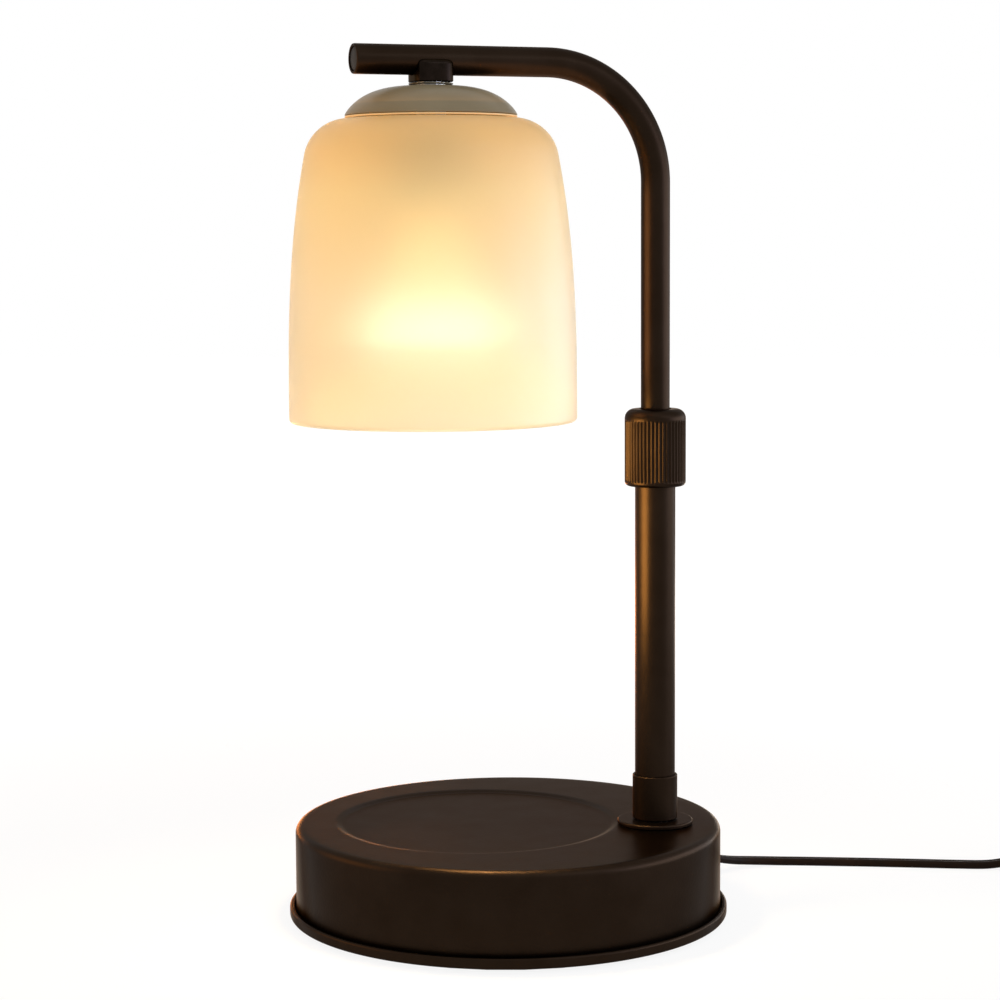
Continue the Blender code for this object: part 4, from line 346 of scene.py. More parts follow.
def rounded(corners, steps=6, closed=True):
    """Outline points from corners (x, y, radius); each arc has a point close by on its flats."""
    points = []
    for i, (x, y, radius) in enumerate(corners):
        if radius == 0 or (not closed and i in (0, len(corners) - 1)):
            points.append((x, y))
            continue
        here = np.array((x, y))
        before = np.array(corners[i - 1][:2]) - here
        after = np.array(corners[(i + 1) % len(corners)][:2]) - here
        before = before / np.linalg.norm(before)
        after = after / np.linalg.norm(after)
        half = acos(max(-1.0, min(1.0, float(before @ after)))) / 2
        centre = here + (before + after) / np.linalg.norm(before + after) * radius / sin(half)
        reach = radius / tan(half)
        start, stop = here + before * reach - centre, here + after * reach - centre
        first = atan2(start[1], start[0])
        sweep = (atan2(stop[1], stop[0]) - first + pi) % tau - pi
        points.append(tuple(here + before * reach * 1.12))
        for k in range(steps + 1):
            angle = first + sweep * k / steps
            points.append((centre[0] + radius * cos(angle), centre[1] + radius * sin(angle)))
        points.append(tuple(here + after * reach * 1.12))
    return points


def cushion(half_x, half_y, corner, steps):
    """A rounded rectangle round the origin."""
    corners = ((half_x, -half_y), (half_x, half_y), (-half_x, half_y), (-half_x, -half_y))
    return rounded([(x, y, corner) for x, y in corners], steps)


low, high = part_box("cord_tie")
middle, half = (low + high) / 2, (high - low) / 2
band = np.array(cushion(half.x, half.z, TIE_CORNER, 6))
outer_rings, inner_rings = [], []
for share, shrink in ((-1.0, 0.3), (-0.92, 0.0), (0.92, 0.0), (1.0, 0.3)):
    for rings, depth in ((outer_rings, TIE_THICKNESS * shrink), (inner_rings, TIE_THICKNESS)):
        points = band * (1 - depth / np.array((half.x, half.z)))
        rings.append([(middle.x + x, middle.y + share * TIE_HALF_WIDTH, middle.z + z) for x, z in points])
cord_tie = add_piece(
    "cord_tie_band", skin(outer_rings + inner_rings[::-1], loop=True), soft_pvc, "base",
    ["cord_tie"],
)


# The inline dimmer: two moulded ABS shells that meet at a fine seam, screwed together from
# below, with a ribbed dial in a well on top. The surface has the spark-eroded tool's grain.
DIMMER_ROUND = 0.0125
DIMMER_EDGE = 0.0026
DIMMER_SEAM = 0.00035
DIMMER_FOOT_INSET = 0.012
DIAL_WELL = 0.0103
DIAL_WELL_DEPTH = 0.0016
DIAL_WELL_EDGE = 0.0003
DIAL_GAP = 0.0003
DIAL_RIBS = 40
DIAL_RIB_STEPS = 6
DIAL_RIB_DEPTH = 0.00045
POINTER_OUT = 0.0058
POINTER_HALF = (0.0005, 0.0022)
POINTER_CORNER = 0.00045
POINTER_SINK = 0.0004
POINTER_DEPTH = 0.00045


def oblong(middle, half_length, half_width, corner, height):
    """A rounded rectangle round a middle, at a height."""
    return [(middle.x + x, middle.y + y, height) for x, y in cushion(half_length, half_width, corner, 8)]


def whole_turn(count):
    """Angles once round."""
    return np.linspace(0, tau, count, endpoint=False)


def circle(x, y, radius, height, angles=whole_turn(160)):
    """Points round (x, y); the radius and the height are one for all angles, or one for each."""
    return np.stack([
        x + radius * np.cos(angles), y + radius * np.sin(angles), np.full(len(angles), height),
    ], axis=1)


def ribbed(rows, ribs, steps, depth, power, x=0.0, y=0.0):
    """Rings from rows of height, radius and how much of the ribs' depth is there."""
    angles = whole_turn(ribs * steps)
    waves = depth * (0.5 + 0.5 * np.cos(ribs * angles)) ** power
    return [circle(x, y, radius - waves * share, height, angles) for height, radius, share in rows]


# ABS, moulded in a spark-eroded tool: an even fine grain, about a quarter of a millimetre
# here so that it shows, and a soft satin light.
moulded_abs = mottled(
    "abs_spark_grained", 0.02, "#181613", "#1F1C19", 0.48, 0.56, IOR=1.54, Specular_IOR_Level=0.08,
)
grain(moulded_abs, 0.00025, 0.00003, detail=1.0)

low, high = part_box("dimmer_lower")
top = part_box("dimmer_upper")[1].z
middle, half = (low + high) / 2, (high - low) / 2
seam = high.z
foot_edge = DIMMER_EDGE * 0.8
rows = [(0.0, DIMMER_FOOT_INSET)]
for a in np.linspace(0, pi / 2, 7):
    rows.append((foot_edge * (1 - cos(a)), foot_edge * (1 - sin(a))))
rows += [
    (seam - 0.0004, 0.0), (seam - 0.0001, DIMMER_SEAM), (seam + 0.0003, DIMMER_SEAM), (seam + 0.0006, 0.0),
]
for a in np.linspace(0, pi / 2, 9):
    rows.append((top - DIMMER_EDGE + DIMMER_EDGE * sin(a), DIMMER_EDGE * (1 - cos(a))))
rows += [(top, DIMMER_EDGE * 1.3)]
rings = [oblong(middle, half.x - i, half.y - i, DIMMER_ROUND - i * 0.9, h) for h, i in rows]
well_floor = top - DIAL_WELL_DEPTH
angles = [atan2(y - middle.y, x - middle.x) for x, y, _ in rings[-1]]
for radius, height in (
    (DIAL_WELL + DIAL_WELL_EDGE, top), (DIAL_WELL, top - DIAL_WELL_EDGE), (DIAL_WELL, well_floor),
    (0.0002, well_floor),
):
    rings.append(circle(middle.x, middle.y, radius, height, angles))
dimmer_case = add_piece(
    "dimmer_case", skin(rings, caps=True), moulded_abs, "base", ["dimmer_lower", "dimmer_upper"],
)

low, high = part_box("dimmer_dial")
dial_bottom, dial_top = well_floor + DIAL_GAP, high.z
dial_radius = (high.x - low.x) / 2
dial_rows = [
    (dial_bottom, dial_radius - 0.0003, 0.0), (dial_bottom + 0.0003, dial_radius, 0.0),
    (top + 0.0003, dial_radius, 0.0), (top + 0.0007, dial_radius, 1.0), (dial_top - 0.0012, dial_radius, 1.0),
    (dial_top - 0.0008, dial_radius - 0.0002, 0.3), (dial_top - 0.0004, dial_radius - 0.0005, 0.0),
    (dial_top - 0.0001, dial_radius - 0.0009, 0.0), (dial_top, dial_radius - 0.0014, 0.0),
    (dial_top - 0.0002, dial_radius - 0.0030, 0.0), (dial_top - 0.0004, 0.0002, 0.0),
]
rings = ribbed(dial_rows, DIAL_RIBS, DIAL_RIB_STEPS, DIAL_RIB_DEPTH, 1.5, middle.x, middle.y)
add_piece("dial_knob", skin(rings, caps=True), moulded_abs, "dial", ["dimmer_dial"])

# The dial's pointer: a line of white paint in a groove, wiped flush.
wiped_paint = surface("white_paint_wiped", "#E6E2DA", 0.55)
grain(wiped_paint, 0.0004, 0.00002)
pointer_spot = Vector((middle.x, middle.y + POINTER_OUT, 0.0))
pointer = []
for height in (dial_top - POINTER_SINK, dial_top - POINTER_SINK + POINTER_DEPTH):
    pointer.append(oblong(pointer_spot, *POINTER_HALF, POINTER_CORNER, height))
add_piece("dial_pointer", skin(pointer, caps=True), wiped_paint, "dial")


# The plug: PVC moulded over the blades' roots, with a grooved tail that lets the cord bend.
# The two blades are stamped from brass strip, with a round hole near the tip.
PLUG_TAIL_HALF = (0.0036, 0.0025)
PLUG_FACE_HALF = (0.0125, 0.0069)
PLUG_FACE_EDGE = 0.0007
PLUG_GROWTH = (
    (0.00, 0.00), (0.22, 0.03), (0.30, 0.12), (0.38, 0.36), (0.45, 0.55), (0.62, 0.74), (0.80, 0.93),
    (0.93, 1.0), (1.0, 0.99),
)
TAIL_GROOVES = (0.0, 0.22, 4, 0.0005)
GRIP_GROOVES = (0.50, 0.82, 5, 0.0004)
BLADE_TIP_ROUND = 0.0014
BLADE_HOLE_RADIUS = 0.0016
BLADE_HOLE_FROM_TIP = 0.0045


def plug_ring(middle, along, half_width, half_height):
    """A soft-cornered section of the plug."""
    corner = min(half_width, half_height) * 0.85
    return [(middle.x + x, along, middle.z + z) for x, z in cushion(half_width, half_height, corner, 5)]


# PVC, moulded: a little glossier than the cord, with a fine dull grain.
moulded_pvc = mottled(
    "pvc_moulded", 0.015, "#1A1410", "#221A15", 0.40, 0.50, IOR=1.53, Specular_IOR_Level=0.12,
)
grain(moulded_pvc, 0.0004, 0.00003)
# Brass, stamped from rolled strip: a bright yellow metal with fine lines from the rolls.
stamped_brass = mottled("brass_stamped", 0.004, "#BF9850", "#D6B36C", 0.22, 0.36, 1.0)
grain(stamped_brass, 0.0002, 0.00001, (1.0, 0.1, 1.0))


def grooved(share, start, stop, count, depth):
    """How deep a row of soft grooves, from one share of the length to another, goes at a share."""
    if not start < share < stop:
        return 0.0
    return depth * (0.5 - 0.5 * cos(tau * count * (share - start) / (stop - start))) ** 2


low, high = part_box("plug_body")
middle = (low + high) / 2
rings = []
for share in np.concatenate([np.linspace(0.0, 0.24, 29), np.linspace(0.25, 0.97, 50), [0.985, 0.995, 1.0]]):
    growth = float(np.interp(share, *zip(*PLUG_GROWTH)))
    inset = grooved(share, *TAIL_GROOVES) + grooved(share, *GRIP_GROOVES)
    inset += PLUG_FACE_EDGE * max(0.0, (share - 0.97) / 0.03) ** 2
    halves = [tail + (face - tail) * growth - inset for tail, face in zip(PLUG_TAIL_HALF, PLUG_FACE_HALF)]
    rings.append(plug_ring(middle, high.y - (high.y - low.y) * share, *halves))
plug = add_piece("plug_moulded", skin(rings, caps=True), moulded_pvc, "base", ["plug_body"])

for name in ("blade_1", "blade_2"):
    low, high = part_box("plug_" + name)
    outline = rounded([
        (high.y, low.z, 0), (low.y, low.z, BLADE_TIP_ROUND), (low.y, high.z, BLADE_TIP_ROUND),
        (high.y, high.z, 0),
    ])
    level = (low.z + high.z) / 2
    hole = circle(low.y + BLADE_HOLE_FROM_TIP, level, BLADE_HOLE_RADIUS, 0.0, whole_turn(24))[:, :2]
    work = bmesh.new()
    edges = []
    for ring in (outline, hole):
        made = [work.verts.new((low.x, y, z)) for y, z in ring]
        edges += [work.edges.new((made[k], made[(k + 1) % len(made)])) for k in range(len(made))]
    bmesh.ops.triangle_fill(work, use_beauty=True, edges=edges)
    raised = bmesh.ops.extrude_face_region(work, geom=list(work.faces))["geom"]
    raised = [item for item in raised if isinstance(item, bmesh.types.BMVert)]
    bmesh.ops.translate(work, verts=raised, vec=(high.x - low.x, 0, 0))
    blade_mesh = settle(work, bpy.data.meshes.new("blade"))
    add_piece(name, blade_mesh, stamped_brass, "base", ["plug_" + name])


# The strain relief: moulded PVC, snapped into the drum's wall. Rings cut into its tail by
# the mould let it bend down with the cord.
RELIEF_ANGLE = radians(42)
RELIEF_LEVEL = 0.0086
RELIEF_FLAT = 0.55
RELIEF_START = 0.0714
RELIEF_CATCH_RADIUS = 0.0055
RELIEF_CATCH_LENGTH = 0.0018
RELIEF_WAIST = 0.0042
RELIEF_COLLAR = (0.0753, 0.0769)
RELIEF_COLLAR_RADIUS = 0.0051
RELIEF_COLLAR_EDGE = 0.0004
RELIEF_ROOT = 0.0044
RELIEF_TAIL = 0.0190
RELIEF_TAIL_RADIUS = 0.0046
RELIEF_TAPER = 0.0010
RELIEF_TIP = 0.0034
RELIEF_DROOP = radians(16)
RELIEF_RINGS = 7
RELIEF_RING_SHARE = 0.62
RELIEF_RING_DEPTH = 0.0006

tail_start = RELIEF_COLLAR[1]
relief_profile = [
    (0.0, RELIEF_START), (RELIEF_CATCH_RADIUS, RELIEF_START),
    (RELIEF_CATCH_RADIUS, RELIEF_START + RELIEF_CATCH_LENGTH),
    (RELIEF_WAIST, RELIEF_START + RELIEF_CATCH_LENGTH), (RELIEF_WAIST, RELIEF_COLLAR[0]),
]
relief_profile += rounded([
    (RELIEF_WAIST, RELIEF_COLLAR[0], 0), (RELIEF_COLLAR_RADIUS, RELIEF_COLLAR[0], RELIEF_COLLAR_EDGE),
    (RELIEF_COLLAR_RADIUS, tail_start, RELIEF_COLLAR_EDGE), (RELIEF_ROOT, tail_start, 0),
], closed=False)[1:]
for share in np.linspace(0.02, 0.97, 72):
    ringed = (share * RELIEF_RINGS) % 1.0 > RELIEF_RING_SHARE and share < 0.93
    radius = RELIEF_TAIL_RADIUS - RELIEF_TAPER * share - (RELIEF_RING_DEPTH if ringed else 0.0)
    relief_profile.append((radius, tail_start + RELIEF_TAIL * share))
relief_profile += [(RELIEF_TIP, tail_start + RELIEF_TAIL), (0.0, tail_start + RELIEF_TAIL)]
bend = RELIEF_TAIL / RELIEF_DROOP
rings = []
for radius, along in relief_profile:
    start, angle = min(along, tail_start), max(0.0, along - tail_start) / bend
    ring = []
    for turn in whole_turn(40):
        out = bend + radius * sin(turn) * RELIEF_FLAT
        ring.append((start + out * sin(angle), radius * cos(turn), RELIEF_LEVEL + out * cos(angle) - bend))
    rings.append(ring)
add_piece(
    "strain_relief_moulded", skin(rings), moulded_pvc, "base", ["strain_relief"],
    turn=RELIEF_ANGLE,
)


# The base drum: steel sheet pressed into a lid, with a shallow round rest sunk in its top,
# then powder coated. The rest lies a little off the drum's middle, away from the post.
BASE_RADIUS = 0.0750
BASE_EDGE = 0.0028
BASE_SHEET = 0.0012
REST_OFFSET = -0.0110
REST_RADIUS = 0.0470
REST_SLOPE = 0.0034
REST_DEPTH = 0.0008

# Steel, powder coated in dark bronze and stoved: the fine metal flake in it gives a satin
# brown-black whose highlights stay brown. The pebbles are about a millimetre across.
powder_coat = mottled("steel_bronze_powder_coated", 0.012, "#201710", "#241B14", 0.37, 0.40, 1.0)
slant = add(powder_coat, "LayerWeight", {"Blend": 0.5})
edge = add(powder_coat, "ValToRGB", links={"Fac": slant.outputs["Facing"]})
set_stops(edge.color_ramp, (
    (0.577, "#CBC9C8"), (0.658, "#C8C6C5"), (0.775, "#B5AFAB"), (0.861, "#C2B8AF"), (0.960, "#E7CEBC"),
))
feed(powder_coat, "Specular Tint", edge.outputs["Color"])
grain(powder_coat, 0.0009, 0.00004, detail=2.0)

low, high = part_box("base_shell")
rest_floor = high.z - REST_DEPTH
rings = [circle(REST_OFFSET, 0, r, rest_floor) for r in (0.0001, 0.02, 0.04, REST_RADIUS - 0.0008)]
for share in np.linspace(0, 1, 9):
    rise = (1 - cos(pi * share)) / 2
    rings.append(circle(REST_OFFSET, 0, REST_RADIUS + REST_SLOPE * share, high.z - REST_DEPTH * (1 - rise)))
rest_edge, edge_start = REST_RADIUS + REST_SLOPE, BASE_RADIUS - BASE_EDGE
for share in (0.04, 0.3, 0.6, 0.9):
    radius = rest_edge + (edge_start - rest_edge) * share
    rings.append(circle(REST_OFFSET * (1 - share), 0, radius, high.z))
for angle in np.linspace(0, pi / 2, 9):
    rings.append(circle(0, 0, edge_start + BASE_EDGE * sin(angle), high.z - BASE_EDGE * (1 - cos(angle))))
for radius, height in (
    (BASE_RADIUS, high.z - BASE_EDGE * 1.15), (BASE_RADIUS, low.z + 0.0005), (BASE_RADIUS - 0.0002, low.z),
    (BASE_RADIUS - BASE_SHEET, low.z), (BASE_RADIUS - BASE_SHEET, rest_floor - BASE_SHEET),
    (0.0001, rest_floor - BASE_SHEET),
):
    rings.append(circle(0, 0, radius, height))
add_piece("base_drum", skin(rings, caps=True), powder_coat, "base", ["base_shell"])


# The base plate: a steel disc whose rim is hemmed up round the drum's foot, in the same
# powder coat. Three screws hold it, and the foam pad under it has a hole over each head.
PLATE_SHEET = 0.0012
HEM_WIDTH = 0.0019
HEM_ROUND = HEM_WIDTH * 0.48
HEM_FOOT_ROUND = 0.0011


def turned(profile, count=96, loop=True, sharp=35):
    """A profile (radius, height) turned round the vertical axis."""
    angles = whole_turn(count)
    return skin([circle(0, 0, r, z, angles) for r, z in profile], loop=loop, sharp=sharp)


low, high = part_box("base_plate")
rim, sheet_top = high.x, low.z + PLATE_SHEET
profile = [(0.0, sheet_top), (0.070, sheet_top)] + rounded([
    (rim - HEM_WIDTH, sheet_top, 0), (rim - HEM_WIDTH, high.z, HEM_ROUND), (rim, high.z, HEM_ROUND),
    (rim, low.z, HEM_FOOT_ROUND), (0.060, low.z, 0), (0.0, low.z, 0),
], closed=False)
add_piece(
    "base_plate_hemmed", turned(profile, 160, loop=False), powder_coat, "base", ["base_plate"],
)


# The inner pieces: the pad, the weight, the fixings, the guides, the leads and the board.
# They keep their CAD mesh, and each gets the finish of what it is made from.


def refinish(node, finish):
    """Give a CAD node a material of its own."""
    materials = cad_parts[node].data.materials
    materials.clear()
    materials.append(finish)


# Closed-cell EVA foam, die cut from sheet: matt and faintly pocked.
eva_foam = mottled("eva_foam_die_cut", 0.006, "#201E1D", "#2E2B2A", 0.88, 0.97)
grain(eva_foam, 0.0008, 0.0002)
# Grey iron, sand cast: rough, dark and dull, with the sand's grains about a millimetre wide.
cast_iron = mottled("grey_iron_sand_cast", 0.008, "#3E3C3A", "#5A5754", 0.62, 0.82, 0.85)
grain(cast_iron, 0.0011, 0.0002)
# Steel, zinc plated and passivated: a pale grey with a faint cloudiness.
zinc_plate = mottled("steel_zinc_plated", 0.006, "#A5A49F", "#C4C3BD", 0.28, 0.42, 1.0)
grain(zinc_plate, 0.0004, 0.00001)
# Nylon, moulded and left its own colour: milky, with a soft gloss.
natural_nylon = mottled("nylon_moulded", 0.008, "#D2CCBD", "#E0DCD0", 0.40, 0.52, Subsurface_Weight=0.1)
# Silicone sleeve over the inner leads: soft and slightly dusty.
silicone_sleeve = mottled("silicone_sleeve_extruded", 0.01, "#D3D0C8", "#E5E3DD", 0.55, 0.68)
# Circuit board: glass laminate under solder mask, an even half-gloss green.
solder_mask = mottled("laminate_solder_masked", 0.003, "#1A4830", "#2A6243", 0.35, 0.5)
# Vulcanised fibre, punched from board: grey, matt and faintly mottled.
punched_fibre = mottled("vulcanised_fibre_punched", 0.002, "#625D57", "#7B766F", 0.8, 0.9)
grain(punched_fibre, 0.0005, 0.00005)

for finish, nodes in (
    (eva_foam, ["foot_pad"]),
    (cast_iron, ["counterweight"]),
    (natural_nylon, ["collet", "guide_bush", "terminal_block"]),
    (soft_pvc, ["mains_tail"]),
    (silicone_sleeve, ["base_lead", "arm_lead"]),
    (solder_mask, ["dimmer_board"]),
    (punched_fibre, ["seat_ring"]),
    (stamped_brass, ["bulb_pin_1", "bulb_pin_2"]),
    (zinc_plate, [
        "pillar_1", "pillar_2", "pillar_3", "plate_screw_1", "plate_screw_2", "plate_screw_3", "post_nipple",
        "lock_washer", "post_nut", "snap_ring", "neck_tube", "clamp_washer", "clamp_nut", "dimmer_screw_1",
        "dimmer_screw_2",
    ]),
):
    for node in nodes:
        refinish(node, finish)


# The post's foot: a turned disc on the drum, and a turned ferrule that holds the lower
# tube. All three are steel in the drum's powder coat.
POST = (0.0520, 0.0, 0.0)
DISC_BORE = 0.0052
DISC_RADIUS = 0.0132
FERRULE_RADIUS = 0.00785
FERRULE_DIP = 0.0002
LOWER_TUBE_RADIUS = 0.0070
LOWER_TUBE_BORE = 0.0061


def turned_ring(
    name, node, bore, radius, rounds, body, place, material=powder_coat, count=96,
    dip=0.0,
):
    """A ring as high as its node, rounded outside at head and foot, its bore's head lower by the dip."""
    low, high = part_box(node)
    profile = rounded([
        (radius, high.z, rounds[0]), (radius, low.z, rounds[1]), (bore, low.z, 0), (bore, high.z - dip, 0),
    ], 5)
    add_piece(name, turned(profile, count), material, body, [node], place)


turned_ring("post_disc_turned", "post_disc", DISC_BORE, DISC_RADIUS, (0.0006, 0.0002), "base", POST)
turned_ring(
    "ferrule_turned", "ferrule", LOWER_TUBE_RADIUS, FERRULE_RADIUS, (0.0004, 0.0003), "base", POST,
    dip=FERRULE_DIP,
)
turned_ring(
    "lower_tube_drawn", "lower_tube", LOWER_TUBE_BORE, LOWER_TUBE_RADIUS, (0.0002, 0.0002), "base", POST,
)


# The slack lead: the inner lead, wound in two and a half loose turns inside the lower tube,
# where it gathers and pays out as the arm slides. It is stranded copper in its silicone
# sleeve, held at its foot by the post's nipple and at its head by the arm's own lead.
SLACK_LEAD_RADIUS = 0.0015
SLACK_COIL_RADIUS = 0.0038
SLACK_TURNS = 2.5
SLACK_OPENING = 3.5
SLACK_END_GAP = 0.0009

low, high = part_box("lead_slack")
foot, head = low.z + SLACK_END_GAP, high.z - SLACK_END_GAP
share = np.linspace(0, 1, 121)
opening = np.minimum(1.0, SLACK_OPENING * np.minimum(share, 1 - share))
reach = SLACK_COIL_RADIUS * opening**2 * (3 - 2 * opening)
angles = tau * SLACK_TURNS * share
slack_line = circle(0, 0, reach, foot + (head - foot) * share, angles)
outward = circle(0, 0, 1.0, 0.0, angles)
lead_section = circle(0, 0, SLACK_LEAD_RADIUS, 0.0, -whole_turn(16))
rings = carried(slack_line, ways(slack_line), outward, lead_section)
slack_lead = add_piece(
    "slack_lead_coiled", skin(rings, caps=True), silicone_sleeve, None, ["lead_slack"], POST,
)
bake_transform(slack_lead)


# The lock collar: a steel sleeve, knurled straight, bored and threaded to screw down over
# the split collet. Its shoulders are rounded, and the powder coat softens the ribs.
COLLAR_RADIUS = 0.0106
COLLAR_BORE = 0.0073
COLLAR_MOUTH = 0.0053
COLLAR_MOUTH_DEPTH = 0.0032
COLLAR_MOUTH_EDGE = 0.0004
COLLAR_SHOULDER = 0.0033
COLLAR_FOOT = 0.0016
RIB_COUNT = 48
RIB_DEPTH = 0.00050
RIB_STEPS = 8

low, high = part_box("lock_collar")
foot, shoulder = low.z + COLLAR_FOOT, high.z - COLLAR_SHOULDER
rows = [(low.z, COLLAR_BORE, 0.0), (low.z, COLLAR_RADIUS - COLLAR_FOOT * 1.3, 0.0)]
for a in np.linspace(0, pi / 2, 7):
    rows.append((foot - COLLAR_FOOT * cos(a), COLLAR_RADIUS - COLLAR_FOOT * (1 - sin(a)), 0.0))
rows += [
    (foot + 0.0003, COLLAR_RADIUS, 0.5), (foot + 0.0006, COLLAR_RADIUS, 1.0),
    (shoulder - 0.0012, COLLAR_RADIUS, 1.0), (shoulder - 0.0009, COLLAR_RADIUS, 0.5),
    (shoulder - 0.0006, COLLAR_RADIUS, 0.0),
]
for a in np.linspace(0, pi / 2, 9):
    radius = COLLAR_RADIUS - COLLAR_SHOULDER * (1 - cos(a))
    rows.append((shoulder + COLLAR_SHOULDER * sin(a), radius, 0.0))
mouth_floor = high.z - COLLAR_MOUTH_DEPTH
rows += [
    (high.z, COLLAR_MOUTH + COLLAR_MOUTH_EDGE, 0.0), (high.z - 0.0003, COLLAR_MOUTH, 0.0),
    (mouth_floor, COLLAR_MOUTH, 0.0), (mouth_floor, COLLAR_BORE, 0.0),
]
rings = ribbed(rows, RIB_COUNT, RIB_STEPS, RIB_DEPTH, 1.3)
add_piece(
    "lock_collar_knurled", skin(rings, loop=True, sharp=60), powder_coat, "lock_collar",
    ["lock_collar"], POST,
)


# The arm: 10 mm steel tube, drawn, bent once on a former and powder coated. Its level end
# is closed by a black plug pressed just below the rim.
ARM_SWING = radians(207)
ARM_LEVEL = 0.2975
ARM_REACH = 0.1085
TUBE_RADIUS = 0.0050
TUBE_BORE = 0.0040
ARM_PLUG_RADIUS = 0.0038
BEND_RADIUS = 0.0400
HEAD_REACH = 0.0815
HEAD = (POST[0] + HEAD_REACH * cos(ARM_SWING), POST[1] + HEAD_REACH * sin(ARM_SWING), 0.0)

low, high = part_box("upper_tube")
arm_line = [(0.0, 0.0, z) for z in np.linspace(low.z, ARM_LEVEL - BEND_RADIUS, 8)]
for angle in np.linspace(0, pi / 2, 41)[1:]:
    arm_line.append((BEND_RADIUS * (1 - cos(angle)), 0.0, ARM_LEVEL - BEND_RADIUS * (1 - sin(angle))))
arm_line += [(x, 0.0, ARM_LEVEL) for x in np.linspace(BEND_RADIUS, ARM_REACH, 8)[1:]]
arm_line = np.array(arm_line)
ahead = ways(arm_line)
tube_turns = whole_turn(64)


def tube_rings(line, ahead, radius):
    """Circles round the arm's line or a part of it, which all start at its level side."""
    return carried(line, ahead, np.array([(0.0, 1.0, 0.0)]), circle(0, 0, radius, 0.0, tube_turns))


def end_rings(rows):
    """Circles at the arm's closed end, from how far out each lies and its radius."""
    rings = []
    for shift, radius in rows:
        rings += tube_rings(arm_line[-1:] + (shift, 0, 0), ahead[-1:], radius)
    return rings


outside = tube_rings(arm_line, ahead, TUBE_RADIUS)[:-1]
rim_rings = end_rings((
    (-0.0006, TUBE_RADIUS), (-0.0003, TUBE_RADIUS - 0.00004), (-0.0001, TUBE_RADIUS - 0.00012),
    (0.0, TUBE_RADIUS - 0.0003), (0.0, TUBE_BORE + 0.0001), (-0.0001, TUBE_BORE),
))
inside = tube_rings(arm_line, ahead, TUBE_BORE)[-2::-1]
add_piece(
    "arm_tube", skin(outside + rim_rings + inside, loop=True), powder_coat, "arm",
    ["upper_tube"], POST, ARM_SWING,
)
plug_rings = end_rings((
    (-0.0063, ARM_PLUG_RADIUS - 0.0002), (-0.0060, ARM_PLUG_RADIUS), (-0.0006, ARM_PLUG_RADIUS),
    (-0.0004, ARM_PLUG_RADIUS - 0.0001), (-0.0003, ARM_PLUG_RADIUS - 0.0004), (-0.00025, 0.0001),
))
add_piece(
    "arm_end_plug", skin(plug_rings, caps=True), moulded_abs, "arm", ["arm_plug"],
    POST, ARM_SWING,
)


# The neck: a milled steel boss, a squarish oval that stands out past the arm it is saddled
# under, with a rounded top. A thin nickel-plated washer lies between its foot and the dome.
NECK_HALF_LENGTH = 0.0066
NECK_HALF_WIDTH = 0.0070
NECK_SQUARENESS = 4.0
NECK_EDGE = 0.0016
NECK_BORE = 0.0052
SADDLE_RADIUS = 0.0052
WASHER_RADIUS = 0.0074


def carved(mesh, tool):
    """A mesh cut by another, which is used up."""
    blank, cutter = linked("blank", mesh), linked("cutter", tool)
    blank.modifiers.new("cut", "BOOLEAN").object = cutter
    bpy.context.view_layer.update()
    done = bpy.data.meshes.new_from_object(blank.evaluated_get(bpy.context.evaluated_depsgraph_get()))
    bpy.data.objects.remove(blank)
    bpy.data.objects.remove(cutter)
    done.shade_smooth()
    done.set_sharp_from_angle(angle=radians(35))
    return done


def neck_ring(inset, height):
    """The neck's outline at a height, drawn in by an inset."""
    ring = []
    for t in whole_turn(96):
        x, y = cos(t), sin(t)
        reach = (abs(x) ** NECK_SQUARENESS + abs(y) ** NECK_SQUARENESS) ** (-1 / NECK_SQUARENESS)
        ring.append(((NECK_HALF_LENGTH - inset) * x * reach, (NECK_HALF_WIDTH - inset) * y * reach, height))
    return ring


low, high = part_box("neck")
rings = [circle(0, 0, NECK_BORE, height, whole_turn(96)) for height in (ARM_LEVEL, low.z)]
rings += [neck_ring(0.0003, low.z), neck_ring(0.0, low.z + 0.0003)]
for t in np.linspace(0, pi / 2, 9):
    rings.append(neck_ring(NECK_EDGE * (1 - cos(t)), ARM_LEVEL - NECK_EDGE * (1 - sin(t))))
saddle = []
for x in (-0.01, 0.01):
    saddle.append([(x, SADDLE_RADIUS * cos(t), ARM_LEVEL + SADDLE_RADIUS * sin(t)) for t in tube_turns])
neck_mesh = carved(skin(rings, loop=True), skin(saddle, caps=True))
# Steel, blacked in hot salts and oiled: darker and a little glossier than the powder coat.
black_oxide = mottled(
    "steel_black_oxide", 0.004, "#16110D", "#201915", 0.24, 0.34, 1.0, Specular_Tint=linear("#C4BEB8"),
)
grain(black_oxide, 0.0005, 0.00001)
add_piece("neck_boss", neck_mesh, black_oxide, "arm", ["neck"], HEAD, ARM_SWING)
# Steel, nickel plated in a dull bath, its grey darkened as painted shade: a quiet line under the neck.
nickel_plate_painted_shade = mottled("steel_dull_nickel_plated_painted_shade", 0.003, "#574F3E", "#665E4C", 0.45, 0.55, 1.0)
grain(nickel_plate_painted_shade, 0.0003, 0.00001)
turned_ring(
    "neck_washer_bright", "neck_washer", NECK_BORE, WASHER_RADIUS, (0.00015, 0.00015), "arm", HEAD,
    nickel_plate_painted_shade,
)


# The dome: spun from steel sheet over a former and stove enamelled in a satin taupe. Its
# crown is nearly flat and its edge falls steeply to the glass, on a thin silicone gasket.
DOME_RADIUS = 0.0286
DOME_HOLE = 0.0052
DOME_SHEET = 0.0008
DOME_POWER = 3.4
DOME_ROUND = 0.8
GASKET_BORE = 0.0266
GASKET_RADIUS = 0.0286

# Stoved enamel: a soft, even sheen over a warm grey, with a faint orange peel.
stoved_enamel = mottled(
    "steel_stove_enamelled", 0.02, "#897A5D", "#938467", 0.34, 0.42, IOR=1.52, Specular_IOR_Level=0.12,
)
grain(stoved_enamel, 0.0025, 0.00002, detail=1.0)

